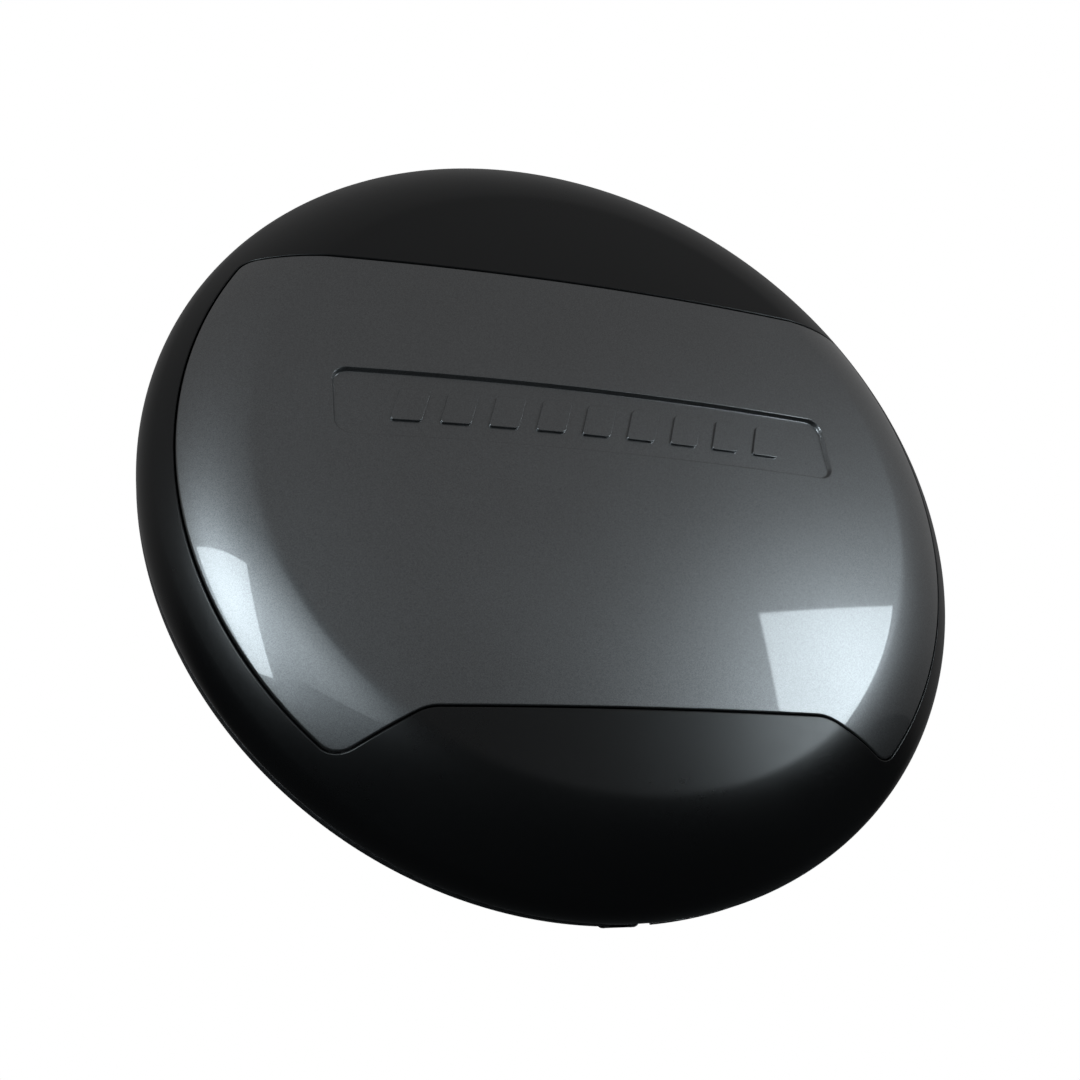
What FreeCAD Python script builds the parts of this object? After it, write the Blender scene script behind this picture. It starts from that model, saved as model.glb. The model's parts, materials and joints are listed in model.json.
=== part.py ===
"""Hard spare tyre cover: a moulded shell with a painted centre panel, held on the tyre by a
split clamp ring that hinges at the bottom and closes with a draw latch at the top.

Millimetres. +Z is up as the cover hangs behind a vehicle, the disc's axis is Y, and the
painted face looks along -Y. The origin is on the disc's axis, in the plane of the clamp
ring's rear edge. Sections are drawn as (r, w): r is the distance from the axis and w the
distance forward of that plane, so y = -w. Clock angles run from +X over +Z.
"""

import FreeCAD, Part
import math
import os

V = FreeCAD.Vector
ORIGIN = V(0, 0, 0)
FORWARD = V(0, -1, 0)

# Bore of the closed clamp ring, for a tyre 814 mm across the tread: 255/60 R20 or 255/70 R18
GRIP_R = 408.0

# Outer form of the dome
RIM_R = 425.0
DEPTH = 107.3
CREASE_R = 333.4
CREASE_W = 89.5
CREASE_ANGLE = math.radians(11.5)
SHOULDER_ANGLE = math.radians(45)
SHOULDER_R = 156.0
FACE_SAG = DEPTH - CREASE_W
FACE_R = (CREASE_R**2 + FACE_SAG**2) / (2 * FACE_SAG)
WALL = 3.0

# Rear rim of the shell: a rolled edge, a neck and a bead that the ring hooks over
ROLL_R = 6.0
NECK_R = 417.5
BEAD_R = 420.6
BEAD_BACK = 3.6
BEAD_FRONT = 6.4

# Centre panel
PANEL_R = 396.6
PANEL_TOP = 212.5
PANEL_FLAT = -258.6
PANEL_STEP_X = 190.6
STEP_ANGLE = math.atan(0.5)
PANEL_SKIN = 3.2
PANEL_GAP = 1.3
POCKET = 7.5
TOP_CORNER_R = 21.0
FOOT_CORNER_R = 23.0
STEP_CORNER_R = 42.0

# Sunk field in the panel and the plain slanted bars that stand in it
FIELD_X = 259.8
FIELD_LOW = 2.0
FIELD_HIGH = 73.7
FIELD_DEPTH = 4.2
FIELD_CORNER_R = 15.0
BAR_COUNT = 9
BAR_PITCH = 47.0
BAR_WIDTH = 30.0
BAR_HEIGHT = 36.0
BAR_SLANT = 12.0
BAR_RISE = 2.4

# Clamp ring
RING_R = 423.5
RING_WALL = 2.4
BAND_IN = 411.0
BAND_BACK = -24.0
LIP_R = 418.2
LIP_FRONT = 9.8
RING_BACK_WALL = 2.6

RING_SPAN = 176.2

# Hinge at the bottom: two eyes between the lugs of a bracket under the shell
HINGE_ANGLE = 270.0
HINGE_R = 416.4
HINGE_T = 13.0
PIN_R = 2.0
PIN_HEAD_R = 3.8
RUN_CLEARANCE = 0.05
EYE_R = 4.4
EYE_W = (-12.4, -4.0)
ARM_THICK = 4.4
ARM_REACH = 24.0
RING_START = 3.2
LUG_W = (-15.4, -3.4)
LUG_THICK = 2.6
LUG_OUT = 420.4
TONGUE_LOW = 408.6
TONGUE_HIGH = 411.1
BRACKET_HALF = 20.0
TONGUE_FRONT = 40.0
BOSS_W = (18.0, 33.0)
BOSS_T = 11.0
BOSS_R = 5.0
BRACKET_SCREW_R = 2.1
SINK_R = 4.6
SINK_DEPTH = 2.5

# Draw latch on the upper end of the right half
HOUSING_START = 68.0
HOUSING_END = 89.3
HOUSING_R = 429.4
LEVER_IN = 425.0
LEVER_OUT = 428.6
LEVER_BACK = -20.6
LEVER_FRONT = 6.8
LEVER_START = 70.2
LEVER_END = 84.5
PIVOT_ANGLE = 87.3
PIVOT_R = 426.4
PIVOT_PIN_R = 1.6
BAIL_MID = 89.4
BAIL_HALF = 29.0
BAIL_R = 420.3
BAIL_PIN_R = 1.8
BAIL_ARMS = (-17.4, -7.2)
LEVER_EARS = (-20.4, -4.2)
EAR_THICK = 2.0
EAR_ROOT = -52.0
LATCH_W = -11.3
HOUSING_RIVETS = (70.6, 76.6, 80.0, 83.4)
STOP_ANGLE = 72.0

# Catch on the upper end of the left half
CATCH_START = 90.8
CATCH_SPAN = 4.6
CATCH_THICK = 2.2
HOOK_THICK = 4.5
HOOK_BEHIND_BAR = 3.2
CATCH_RIVETS = (91.6, 94.6)

# Cam lock in the lever
LOCK_ANGLE = 74.0
LOCK_IN = 418.8
PLUG_R = 4.5
LOCK_BODY_R = 6.5
LOCK_FLANGE_R = 8.2
NUT_ACROSS = 15.0
NUT_LOW = 421.4
NUT_THICK = 3.3
CAM_LOW = 416.6
CAM_THICK = 1.8
CAP_R = 9.2
CAP_THICK = 1.4
CAP_PIVOT_T = 13.0
CAP_PIN_R = 1.6

# Blocks that bear on the tyre's sidewall
BUFFER_R = 300.0
BUFFER_BACK = 50.0
BUFFER_ANGLES = (0, 32, 90, 148, 180, 212, 270, 328)

# Ribs inside the shell
RIB_ANGLES = (16, 61, 119, 164, 196, 241, 299, 344)
RIB_RINGS = (120.0, 230.0)
RIB_DEPTH = 18.5
RIB_THICK = 2.5

# Panel screws: (distance from the axis, clock angle)
PANEL_SCREWS = [(265.0, a) for a in (48, 132, 188, 222, 318, 352)]
PANEL_SCREWS += [(180.0, a) for a in (75, 105, 255, 285)]

RIVET_R = 2.4
RIVET_HEAD_R = 4.2
RIVET_HEAD = 1.5
LINER_START = 0.8
LINER_SPAN = 175.0


def pt(r, w):
    """A section point in the XY plane."""
    return V(r, -w, 0)


def section(*corners):
    """Closed face from (r, w) corners; a third value rounds that corner."""
    count = len(corners)
    starts, ends, arcs = [], [], []
    for i, corner in enumerate(corners):
        here = pt(corner[0], corner[1])
        radius = corner[2] if len(corner) > 2 else 0
        if not radius:
            starts.append(here)
            ends.append(here)
            arcs.append(None)
            continue
        before = (pt(*corners[i - 1][:2]) - here).normalize()
        after = (pt(*corners[(i + 1) % count][:2]) - here).normalize()
        half = before.getAngle(after) / 2
        reach = radius / math.tan(half)
        inward = (before + after).normalize()
        middle = here + inward * (radius / math.sin(half) - radius)
        starts.append(here + before * reach)
        ends.append(here + after * reach)
        arcs.append(middle)
    edges = []
    for i in range(count):
        if arcs[i] is not None:
            edges.append(Part.Arc(starts[i], arcs[i], ends[i]).toShape())
        following = starts[(i + 1) % count]
        edges.append(Part.LineSegment(ends[i], following).toShape())
    return Part.Face(Part.Wire(edges))


def turned(shape, clock):
    """A copy turned about the disc's axis to a clock angle."""
    copy = shape.copy()
    copy.rotate(ORIGIN, FORWARD, clock)
    return copy


def sector(face, start=0.0, span=360.0):
    """A section turned round the axis over part of the circle."""
    return turned(face.revolve(ORIGIN, FORWARD, span), start)


def block(r0, r1, w0, w1, t0, t1, clock=0.0):
    """Box by radial, forward and tangential limits, set at a clock angle."""
    box = Part.makeBox(r1 - r0, w1 - w0, t1 - t0, V(r0, -w1, t0))
    return turned(box, clock)


def radial_rod(radius, r0, r1, w, clock, t=0.0):
    """Cylinder pointing away from the disc's axis."""
    return turned(Part.makeCylinder(radius, r1 - r0, V(r0, -w, t), V(1, 0, 0)), clock)


def axial_rod(radius, w0, w1, r, clock, t=0.0):
    """Cylinder parallel to the disc's axis."""
    return turned(Part.makeCylinder(radius, w1 - w0, V(r, -w1, t), V(0, 1, 0)), clock)


def on_circle(r, clock):
    """X and Z of a point by distance from the axis and clock angle."""
    return r * math.cos(math.radians(clock)), r * math.sin(math.radians(clock))


# Centres of the dome's arcs, and where the last one turns straight back
FACE_CENTRE = (0.0, DEPTH - FACE_R)
SHOULDER_CENTRE = (
    CREASE_R - SHOULDER_R * math.sin(CREASE_ANGLE),
    CREASE_W - SHOULDER_R * math.cos(CREASE_ANGLE),
)
TURN_R = SHOULDER_CENTRE[0] + SHOULDER_R * math.sin(SHOULDER_ANGLE)
TURN_W = SHOULDER_CENTRE[1] + SHOULDER_R * math.cos(SHOULDER_ANGLE)
EDGE_R = (RIM_R - TURN_R) / (1 - math.sin(SHOULDER_ANGLE))
EDGE_CENTRE = (RIM_R - EDGE_R, TURN_W - EDGE_R * math.cos(SHOULDER_ANGLE))
RIM_W = EDGE_CENTRE[1]


def crease_angles(inset):
    """Slopes of the face arc and the shoulder arc where their inset copies cross."""
    r1 = FACE_R - inset
    r2 = SHOULDER_R - inset
    dr = SHOULDER_CENTRE[0] - FACE_CENTRE[0]
    dw = SHOULDER_CENTRE[1] - FACE_CENTRE[1]
    apart = math.hypot(dr, dw)
    along = (apart**2 + r1**2 - r2**2) / (2 * apart)
    side = math.sqrt(r1**2 - along**2)
    r = (along * dr + side * dw) / apart
    return math.asin(r / r1), math.asin((r - SHOULDER_CENTRE[0]) / r2)


def dome_arc(centre, radius, first, last):
    """Arc between two slopes, measured from level."""
    ring = []
    for slope in (first, (first + last) / 2, last):
        r = centre[0] + radius * math.sin(slope)
        w = centre[1] + radius * math.cos(slope)
        ring.append(pt(r, w))
    return Part.Arc(*ring).toShape()


def dome_edges(inset):
    """Section of the dome, set in by a distance, from the axis to its widest point."""
    on_face, on_shoulder = crease_angles(inset)
    return [
        dome_arc(FACE_CENTRE, FACE_R - inset, 0, on_face),
        dome_arc(SHOULDER_CENTRE, SHOULDER_R - inset, on_shoulder, SHOULDER_ANGLE),
        dome_arc(EDGE_CENTRE, EDGE_R - inset, SHOULDER_ANGLE, math.pi / 2),
    ]


def lines(points):
    """Straight edges through points."""
    return [Part.LineSegment(a, b).toShape() for a, b in zip(points, points[1:])]


def dome(inset):
    """Solid under the dome, set in by a distance, with a flat back."""
    shoulder = dome_edges(inset)[1:]
    crease = shoulder[0].Vertexes[0].Point
    above = DEPTH + 10
    closing = lines([
        pt(RIM_R - inset, RIM_W), pt(0, RIM_W), pt(0, above), pt(crease.x, above), crease])
    body = Part.Face(Part.Wire(shoulder + closing)).revolve(ORIGIN, FORWARD, 360)
    return body.common(Part.makeSphere(FACE_R - inset, V(0, -FACE_CENTRE[1], 0)))


def panel_prism(inset):
    """Panel outline set in by a distance, as a prism along the axis."""
    radius = PANEL_R - inset
    top = PANEL_TOP - inset
    flat = PANEL_FLAT + inset
    step_x = PANEL_STEP_X + inset * math.tan(STEP_ANGLE / 2)
    far = 2 * PANEL_R
    low = flat - (far - step_x) * math.tan(STEP_ANGLE)
    corners = [(-far, low), (-step_x, flat), (step_x, flat), (far, low), (far, top), (-far, top)]
    points = [V(x, -DEPTH - 10, z) for x, z in corners]
    field = Part.Face(Part.makePolygon(points + points[:1])).extrude(V(0, DEPTH + 10, 0))
    disc = Part.makeCylinder(radius, DEPTH + 10, V(0, -DEPTH - 10, 0), V(0, 1, 0))
    prism = disc.common(field)
    uprights = {TOP_CORNER_R - inset: [], FOOT_CORNER_R - inset: [], STEP_CORNER_R + inset: []}
    for edge in prism.Edges:
        ends = [v.Point for v in edge.Vertexes]
        if len(ends) < 2 or abs(ends[0].x - ends[1].x) > 0.01 or abs(ends[0].z - ends[1].z) > 0.01:
            continue
        if abs(ends[0].z - flat) < 0.01:
            uprights[STEP_CORNER_R + inset].append(edge)
        elif ends[0].z > 0:
            uprights[TOP_CORNER_R - inset].append(edge)
        else:
            uprights[FOOT_CORNER_R - inset].append(edge)
    for size, edges in uprights.items():
        prism = prism.makeFillet(size, match(prism, edges))
    return prism


def match(shape, edges):
    """Edges of a shape that have the same middle as those given."""
    middles = [e.CenterOfMass for e in edges]
    found = []
    for edge in shape.Edges:
        if any(edge.CenterOfMass.distanceToPoint(m) < 0.01 for m in middles):
            found.append(edge)
    return found


def field_prism(grow):
    """Outline of the sunk field, as a prism along the axis."""
    low, high, half = FIELD_LOW - grow, FIELD_HIGH + grow, FIELD_X + grow
    box = Part.makeBox(2 * half, DEPTH + 10, high - low, V(-half, -DEPTH - 10, low))
    uprights = [e for e in box.Edges if abs(e.Vertexes[0].Point.y - e.Vertexes[1].Point.y) > 1]
    return box.makeFillet(FIELD_CORNER_R + grow, uprights)


def face_rod(radius, inset0, inset1, r, clock):
    """Cylinder square to the crowned face, between two depths under it."""
    centre = V(0, -FACE_CENTRE[1], 0)
    rod = Part.makeCylinder(radius, inset1 - inset0, V(0, -DEPTH + inset0, 0), V(0, 1, 0))
    rod.rotate(centre, V(0, 0, 1), math.degrees(math.asin(r / FACE_R)))
    return turned(rod, clock)


def rim():
    """Rear edge of the shell: rolled rim, neck and bead."""
    roll = math.sqrt(0.5) * ROLL_R
    middle = pt(RIM_R - ROLL_R + roll, RIM_W - roll)
    foot = pt(RIM_R - ROLL_R, RIM_W - ROLL_R)
    neck_in = NECK_R - WALL
    rolled = Part.Arc(pt(RIM_R, RIM_W), middle, foot).toShape()
    rear = lines([
        foot,
        pt(NECK_R, RIM_W - ROLL_R),
        pt(NECK_R, BEAD_FRONT),
        pt(BEAD_R, BEAD_FRONT),
        pt(BEAD_R, BEAD_BACK),
        pt(neck_in, BEAD_BACK),
        pt(neck_in, RIM_W - WALL),
        pt(RIM_R - WALL, RIM_W),
        pt(RIM_R, RIM_W),
    ])
    return Part.Face(Part.Wire([rolled] + rear)).revolve(ORIGIN, FORWARD, 360)


def ribs():
    """Rings and spokes that stiffen the face from behind."""
    plates = []
    for radius in RIB_RINGS:
        plates.append(sector(section(
            (radius, 0), (radius + RIB_THICK, 0), (radius + RIB_THICK, DEPTH), (radius, DEPTH))))
    inner, outer = RIB_RINGS[0], CREASE_R
    for clock in RIB_ANGLES:
        plates.append(block(inner, outer, 0, DEPTH, -RIB_THICK / 2, RIB_THICK / 2, clock))
    depth = dome(WALL - 1).cut(dome(RIB_DEPTH))
    return plates[0].fuse(plates[1:]).common(depth)


def bracket_rods(radius, low, high):
    """Rods on the axes of the four bracket screws."""
    places = [(w, side * BOSS_T) for w in BOSS_W for side in (-1, 1)]
    return [radial_rod(radius, low, high, w, HINGE_ANGLE, t) for w, t in places]


def bracket_bosses():
    """Four posts inside the bottom of the shell that the hinge bracket is screwed to."""
    inside = dome(WALL / 2)
    return [post.common(inside) for post in bracket_rods(BOSS_R, TONGUE_HIGH, RIM_R)]


def screw_sinks():
    """Countersinks of the bracket screws."""
    cones = []
    for w in BOSS_W:
        for side in (-1, 1):
            foot = V(TONGUE_LOW, -w, side * BOSS_T)
            cone = Part.makeCone(SINK_R, BRACKET_SCREW_R, SINK_DEPTH, foot, V(1, 0, 0))
            cones.append(turned(cone, HINGE_ANGLE))
    return cones


def outer_shell():
    """Black moulding: dome, pocket for the panel, ribs, bosses, rolled rim and bead."""
    pocket = panel_prism(0)
    tub = panel_prism(-WALL).common(dome(1).cut(dome(POCKET + WALL)))
    tub = tub.cut(pocket.cut(dome(POCKET)))
    stiffening = ribs().cut(pocket.cut(dome(POCKET)))
    wall = dome(0).cut(dome(WALL)).cut(pocket)
    shell = wall.fuse([rim(), tub, stiffening] + bracket_bosses())
    holes = [face_rod(2.75, POCKET - 2, POCKET + WALL + 4, r, a) for r, a in PANEL_SCREWS]
    holes += bracket_rods(BRACKET_SCREW_R, TONGUE_HIGH - 1, TONGUE_HIGH + 6.5)
    return shell.cut(holes).removeSplitter()


def slanted_bar(x):
    """One raised bar of the plain row in the sunk field."""
    middle = (FIELD_LOW + FIELD_HIGH) / 2
    low, high = middle - BAR_HEIGHT / 2, middle + BAR_HEIGHT / 2
    left, right = x - BAR_WIDTH / 2, x + BAR_WIDTH / 2
    lean = BAR_SLANT / 2
    corners = [(left - lean, low), (right - lean, low), (right + lean, high), (left + lean, high)]
    points = [V(cx, -DEPTH - 10, cz) for cx, cz in corners]
    bar = Part.Face(Part.makePolygon(points + points[:1])).extrude(V(0, 40, 0))
    uprights = [e for e in bar.Edges if abs(e.Vertexes[0].Point.y - e.Vertexes[1].Point.y) > 1]
    return bar.makeFillet(4, uprights)


def centre_panel():
    """Painted panel with its sunk field, raised bars and screw bosses."""
    outline = panel_prism(PANEL_GAP)
    floor = dome(FIELD_DEPTH)
    under = dome(PANEL_SKIN).cut(field_prism(WALL)).fuse(dome(FIELD_DEPTH + WALL))
    panel = dome(0).common(outline).cut(field_prism(0).cut(floor)).cut(under)
    first = -(BAR_COUNT - 1) / 2
    bars = [slanted_bar((first + i) * BAR_PITCH) for i in range(BAR_COUNT)]
    relief = dome(FIELD_DEPTH - BAR_RISE).cut(dome(FIELD_DEPTH + 0.5))
    raised = bars[0].fuse(bars[1:]).common(relief)
    bosses = []
    for r, clock in PANEL_SCREWS:
        post = face_rod(7, PANEL_SKIN - 1, POCKET + 2, r, clock).common(dome(1).cut(dome(POCKET)))
        bosses.append(post)
    panel = panel.fuse([raised] + bosses)
    threads = [face_rod(2.5, POCKET - 4.5, POCKET + 1, r, a) for r, a in PANEL_SCREWS]
    return panel.cut(threads).removeSplitter()


def panel_tape():
    """Foam tape between the panel's border and the pocket floor."""
    strip = panel_prism(5).cut(panel_prism(15))
    strip = strip.cut([face_rod(8, 0, POCKET + WALL, r, a) for r, a in PANEL_SCREWS])
    return strip.common(dome(PANEL_SKIN).cut(dome(POCKET)))


def panel_screws():
    """Pan-head screws that come through the pocket floor into the panel's bosses."""
    head = POCKET + WALL + 1.02
    group = []
    for r, clock in PANEL_SCREWS:
        shank = face_rod(2.5, POCKET - 4.3, head, r, clock)
        group.append(shank.fuse(face_rod(4.6, head, head + 3, r, clock)))
    return Part.makeCompound(group)


def panel_washers():
    """Washers under the panel screws' heads."""
    top = POCKET + WALL + 0.02
    group = []
    for r, clock in PANEL_SCREWS:
        washer = face_rod(7.5, top, top + 1, r, clock)
        group.append(washer.cut(face_rod(2.5, top - 1, top + 2, r, clock)))
    return Part.makeCompound(group)


def buffer(clock):
    """Moulded block between the shell's floor and the tyre's sidewall."""
    over_pocket = PANEL_FLAT < on_circle(BUFFER_R, clock)[1] < PANEL_TOP
    seat = POCKET + WALL if over_pocket else WALL
    body = block(BUFFER_R - 18, BUFFER_R + 18, BUFFER_BACK, DEPTH, -35, 35)
    uprights = [e for e in body.Edges if abs(e.Vertexes[0].Point.y - e.Vertexes[1].Point.y) > 1]
    return turned(body.makeFillet(8, uprights), clock).common(dome(seat))


def rim_seal():
    """Rubber strip inside the shell's neck that keeps it off the tread."""
    outer, low, high = NECK_R - WALL, BEAD_BACK + 1, 13
    return sector(section((412, low, 0.8), (outer, low), (outer, high), (412, high, 0.8)))


def hinge_bracket():
    """Tongue screwed under the bottom of the shell, with two lugs for the hinge pins."""
    half = BRACKET_HALF
    tongue = block(TONGUE_LOW, TONGUE_HIGH, LUG_W[0], TONGUE_FRONT, -half, half, HINGE_ANGLE)
    lugs = []
    for w in LUG_W:
        lug = block(TONGUE_LOW, LUG_OUT, w, w + LUG_THICK, -half, half)
        tips = [
            e for e in lug.Edges
            if abs(e.CenterOfMass.x - LUG_OUT) < 0.01 and abs(abs(e.CenterOfMass.z) - half) < 0.01
        ]
        lugs.append(turned(lug.makeFillet(5, tips), HINGE_ANGLE))
    bracket = tongue.fuse(lugs)
    bores = [
        axial_rod(PIN_R, LUG_W[0] - 1, 0, HINGE_R, HINGE_ANGLE, side * HINGE_T) for side in (-1, 1)
    ]
    return bracket.cut(bores + screw_sinks()).removeSplitter()


def hinge_screws():
    """Countersunk screws of the hinge bracket."""
    shanks = bracket_rods(BRACKET_SCREW_R, TONGUE_HIGH, TONGUE_HIGH + 6)
    return Part.makeCompound([head.fuse(shank) for head, shank in zip(screw_sinks(), shanks)])


def hinge_pins():
    """Two headed pins pressed in the bracket's lugs."""
    group = []
    back, front = LUG_W[0], LUG_W[1] + LUG_THICK
    for side in (-1, 1):
        place = (HINGE_R, HINGE_ANGLE, side * HINGE_T)
        shank = axial_rod(PIN_R, back, front, *place)
        group.append(shank.fuse(axial_rod(PIN_HEAD_R, back - 1.6, back, *place)))
    return Part.makeCompound(group)


def ring_section():
    """Clamp ring: outer web with a front lip, rear wall and the band that grips the tread."""
    web_in = RING_R - RING_WALL
    return section(
        (BAND_IN, BAND_BACK), (BAND_IN + RING_WALL, BAND_BACK), (BAND_IN + RING_WALL, 0),
        (RING_R, 0, 2), (RING_R, LIP_FRONT, 2), (LIP_R, LIP_FRONT), (LIP_R, LIP_FRONT - 2.8),
        (web_in, LIP_FRONT - 2.8), (web_in, RING_BACK_WALL), (BAND_IN, RING_BACK_WALL))


def ring_half(side):
    """One half of the clamp ring with its hinge eye; side is -1 for left, 1 for right."""
    start = HINGE_ANGLE + (RING_START if side > 0 else -RING_START - RING_SPAN)
    half = sector(ring_section(), start, RING_SPAN)
    low, high = EYE_W
    place = (HINGE_R, HINGE_ANGLE, side * HINGE_T)
    eye = axial_rod(EYE_R, low, high, *place)
    near, far = sorted((side * HINGE_T, side * (HINGE_T + ARM_REACH)))
    arm_low = HINGE_R - EYE_R
    arm = block(arm_low, arm_low + ARM_THICK, low, high, near, far, HINGE_ANGLE)
    inside = Part.makeCylinder(BAND_IN, high - low + 2, V(0, -high - 1, 0), V(0, 1, 0))
    half = half.fuse([eye, arm.cut(inside)])
    return half.cut(axial_rod(PIN_R + RUN_CLEARANCE, low - 1, high + 1, *place))


def ring_liner(start, span):
    """Rubber strip bonded inside the band."""
    return sector(section(
        (GRIP_R, BAND_BACK + 1), (BAND_IN, BAND_BACK + 1), (BAND_IN, 2), (GRIP_R, 2)), start, span)


def housing_section():
    """Tray section of the latch housing, seated on the band and the web."""
    band = BAND_IN + RING_WALL
    return section(
        (band, BAND_BACK), (HOUSING_R, BAND_BACK, 1.5), (HOUSING_R, -21), (band + 2, -21),
        (band + 2, -1.6), (LEVER_IN - 0.5, -1.6), (LEVER_IN - 0.5, 7.2), (HOUSING_R, 7.2),
        (HOUSING_R, LIP_FRONT, 1.5), (RING_R, LIP_FRONT), (RING_R, 0), (band, 0))


def latch_housing():
    """Tray on the left half's lower end that holds the lever and the lock's keeper."""
    band = BAND_IN + RING_WALL
    tray = sector(housing_section(), HOUSING_START, HOUSING_END - HOUSING_START)
    end = section((band, -23), (HOUSING_R, -23), (HOUSING_R, -0.5), (band, -0.5))
    apron = section((LEVER_IN - 1, -2), (HOUSING_R, -2), (HOUSING_R, 9), (LEVER_IN - 1, 9))
    keeper = section((419.2, -22), (421.2, -22), (421.2, -18.2), (419.2, -18.2))
    solids = [sector(end, HOUSING_START, 1.6), sector(apron, HOUSING_START, 1.6)]
    solids.append(sector(keeper, LOCK_ANGLE - 0.9, 1.8))
    tray = tray.fuse(solids)
    tray = tray.cut(axial_rod(PIVOT_PIN_R, -30, 20, PIVOT_R, PIVOT_ANGLE))
    for clock in HOUSING_RIVETS:
        tray = tray.cut(radial_rod(RIVET_R, BAND_IN - 1, band + 4, LATCH_W, clock))
    return tray.removeSplitter()


def rivets(places, seat):
    """Round-head rivets through the band; seat is where their heads sit."""
    group = []
    for clock in places:
        shank = radial_rod(RIVET_R, BAND_IN, seat, LATCH_W, clock)
        head = radial_rod(RIVET_HEAD_R, seat, seat + RIVET_HEAD, LATCH_W, clock)
        group.append(shank.fuse(head))
    return Part.makeCompound(group)


def pivot_place():
    """Radial and tangential place of the lever's pivot, seen square to the bail's middle."""
    turn = math.radians(PIVOT_ANGLE - BAIL_MID)
    return PIVOT_R * math.cos(turn), PIVOT_R * math.sin(turn)


def latch_lever():
    """Curved lever skin with two ears that carry the bail's pin."""
    skin = section(
        (LEVER_IN, LEVER_BACK), (LEVER_OUT, LEVER_BACK, 1), (LEVER_OUT, LEVER_FRONT, 1),
        (LEVER_IN, LEVER_FRONT))
    lever = sector(skin, LEVER_START, LEVER_END - LEVER_START)
    pivot_r, pivot_t = pivot_place()
    corners = [
        (pivot_r, pivot_t), (BAIL_R, -BAIL_HALF), (LEVER_IN - 1.5, EAR_ROOT),
        (LEVER_IN + 0.8, EAR_ROOT)]
    ears = []
    for w in LEVER_EARS:
        points = [V(r, -w, t) for r, t in corners]
        ear = Part.Face(Part.makePolygon(points + points[:1])).extrude(V(0, -EAR_THICK, 0))
        round_pivot = Part.makeCylinder(2.9, EAR_THICK, V(pivot_r, -w, pivot_t), V(0, -1, 0))
        round_bail = Part.makeCylinder(3.4, EAR_THICK, V(BAIL_R, -w, -BAIL_HALF), V(0, -1, 0))
        ears += [turned(s, BAIL_MID) for s in (ear, round_pivot, round_bail)]
    lever = lever.fuse(ears)
    holes = [
        axial_rod(PIVOT_PIN_R + RUN_CLEARANCE, -30, 20, PIVOT_R, PIVOT_ANGLE),
        axial_rod(BAIL_PIN_R, -30, 20, BAIL_R, BAIL_MID, -BAIL_HALF),
        radial_rod(LOCK_BODY_R, 410, 440, LATCH_W, LOCK_ANGLE),
        radial_rod(CAP_PIN_R, 410, 440, LATCH_W, LOCK_ANGLE, CAP_PIVOT_T),
    ]
    return lever.cut(holes).removeSplitter()


def lever_pins():
    """Two stub pins of the lever, held in the housing's walls, with the bail free between them."""
    spans = ((BAND_BACK, LEVER_EARS[0] + EAR_THICK), (LEVER_EARS[1], LIP_FRONT - 0.4))
    return Part.makeCompound([axial_rod(PIVOT_PIN_R, a, b, PIVOT_R, PIVOT_ANGLE) for a, b in spans])


def bail():
    """Loop that reaches from the lever to the catch: two arms and an end bar."""
    solids = []
    for w in BAIL_ARMS:
        arm = Part.makeBox(3, EAR_THICK, 2 * BAIL_HALF, V(BAIL_R - 1.5, -w - EAR_THICK, -BAIL_HALF))
        solids.append(arm)
        for t in (-BAIL_HALF, BAIL_HALF):
            solids.append(Part.makeCylinder(3, EAR_THICK, V(BAIL_R, -w, t), V(0, -1, 0)))
    reach = BAIL_ARMS[1] - BAIL_ARMS[0]
    solids.append(Part.makeCylinder(2, reach, V(BAIL_R, -BAIL_ARMS[0], BAIL_HALF), V(0, -1, 0)))
    loop = solids[0].fuse(solids[1:]).removeSplitter()
    hole = axial_rod(BAIL_PIN_R + RUN_CLEARANCE, -30, 20, BAIL_R, BAIL_MID, -BAIL_HALF)
    return turned(loop, BAIL_MID).cut(hole).removeSplitter()


def bail_pin():
    """Pin that joins the bail to the lever's ears."""
    low, high = LEVER_EARS[0], LEVER_EARS[1] + EAR_THICK
    return axial_rod(BAIL_PIN_R, low, high, BAIL_R, BAIL_MID, -BAIL_HALF)


def catch_block():
    """Hook on the left half that the bail's bar is drawn against."""
    band = BAND_IN + RING_WALL
    plate = section(
        (band, -20), (band + CATCH_THICK, -20), (band + CATCH_THICK, -2.5), (band, -2.5))
    base = sector(plate, CATCH_START, CATCH_SPAN)
    foot = V(band + 1.5, 8.3, BAIL_HALF - HOOK_BEHIND_BAR - HOOK_THICK)
    hook = Part.makeBox(8.4, 6, HOOK_THICK, foot)
    tips = [
        e for e in hook.Edges
        if abs(e.CenterOfMass.x - band - 9.9) < 0.01 and abs(e.Length - 6) < 0.01
    ]
    catch = base.fuse(turned(hook.makeFillet(1.5, tips), BAIL_MID))
    holes = [
        radial_rod(RIVET_R, BAND_IN - 1, band + 4, LATCH_W, clock) for clock in CATCH_RIVETS
    ]
    return catch.cut(holes).removeSplitter()


def lever_stop():
    """Rubber post that the closed lever's free end rests on."""
    band = BAND_IN + RING_WALL
    return block(band + 2.3, LEVER_IN - 0.6, -8, -3, -4, 4, STOP_ANGLE)


def lock_body():
    """Threaded sleeve of the cam lock, fixed in the lever."""
    sleeve = radial_rod(LOCK_BODY_R, LOCK_IN, LEVER_OUT, LATCH_W, LOCK_ANGLE)
    flange = radial_rod(LOCK_FLANGE_R, LEVER_OUT, LEVER_OUT + 0.8, LATCH_W, LOCK_ANGLE)
    bore = radial_rod(PLUG_R + RUN_CLEARANCE, 400, 440, LATCH_W, LOCK_ANGLE)
    return sleeve.fuse(flange).cut(bore)


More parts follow.
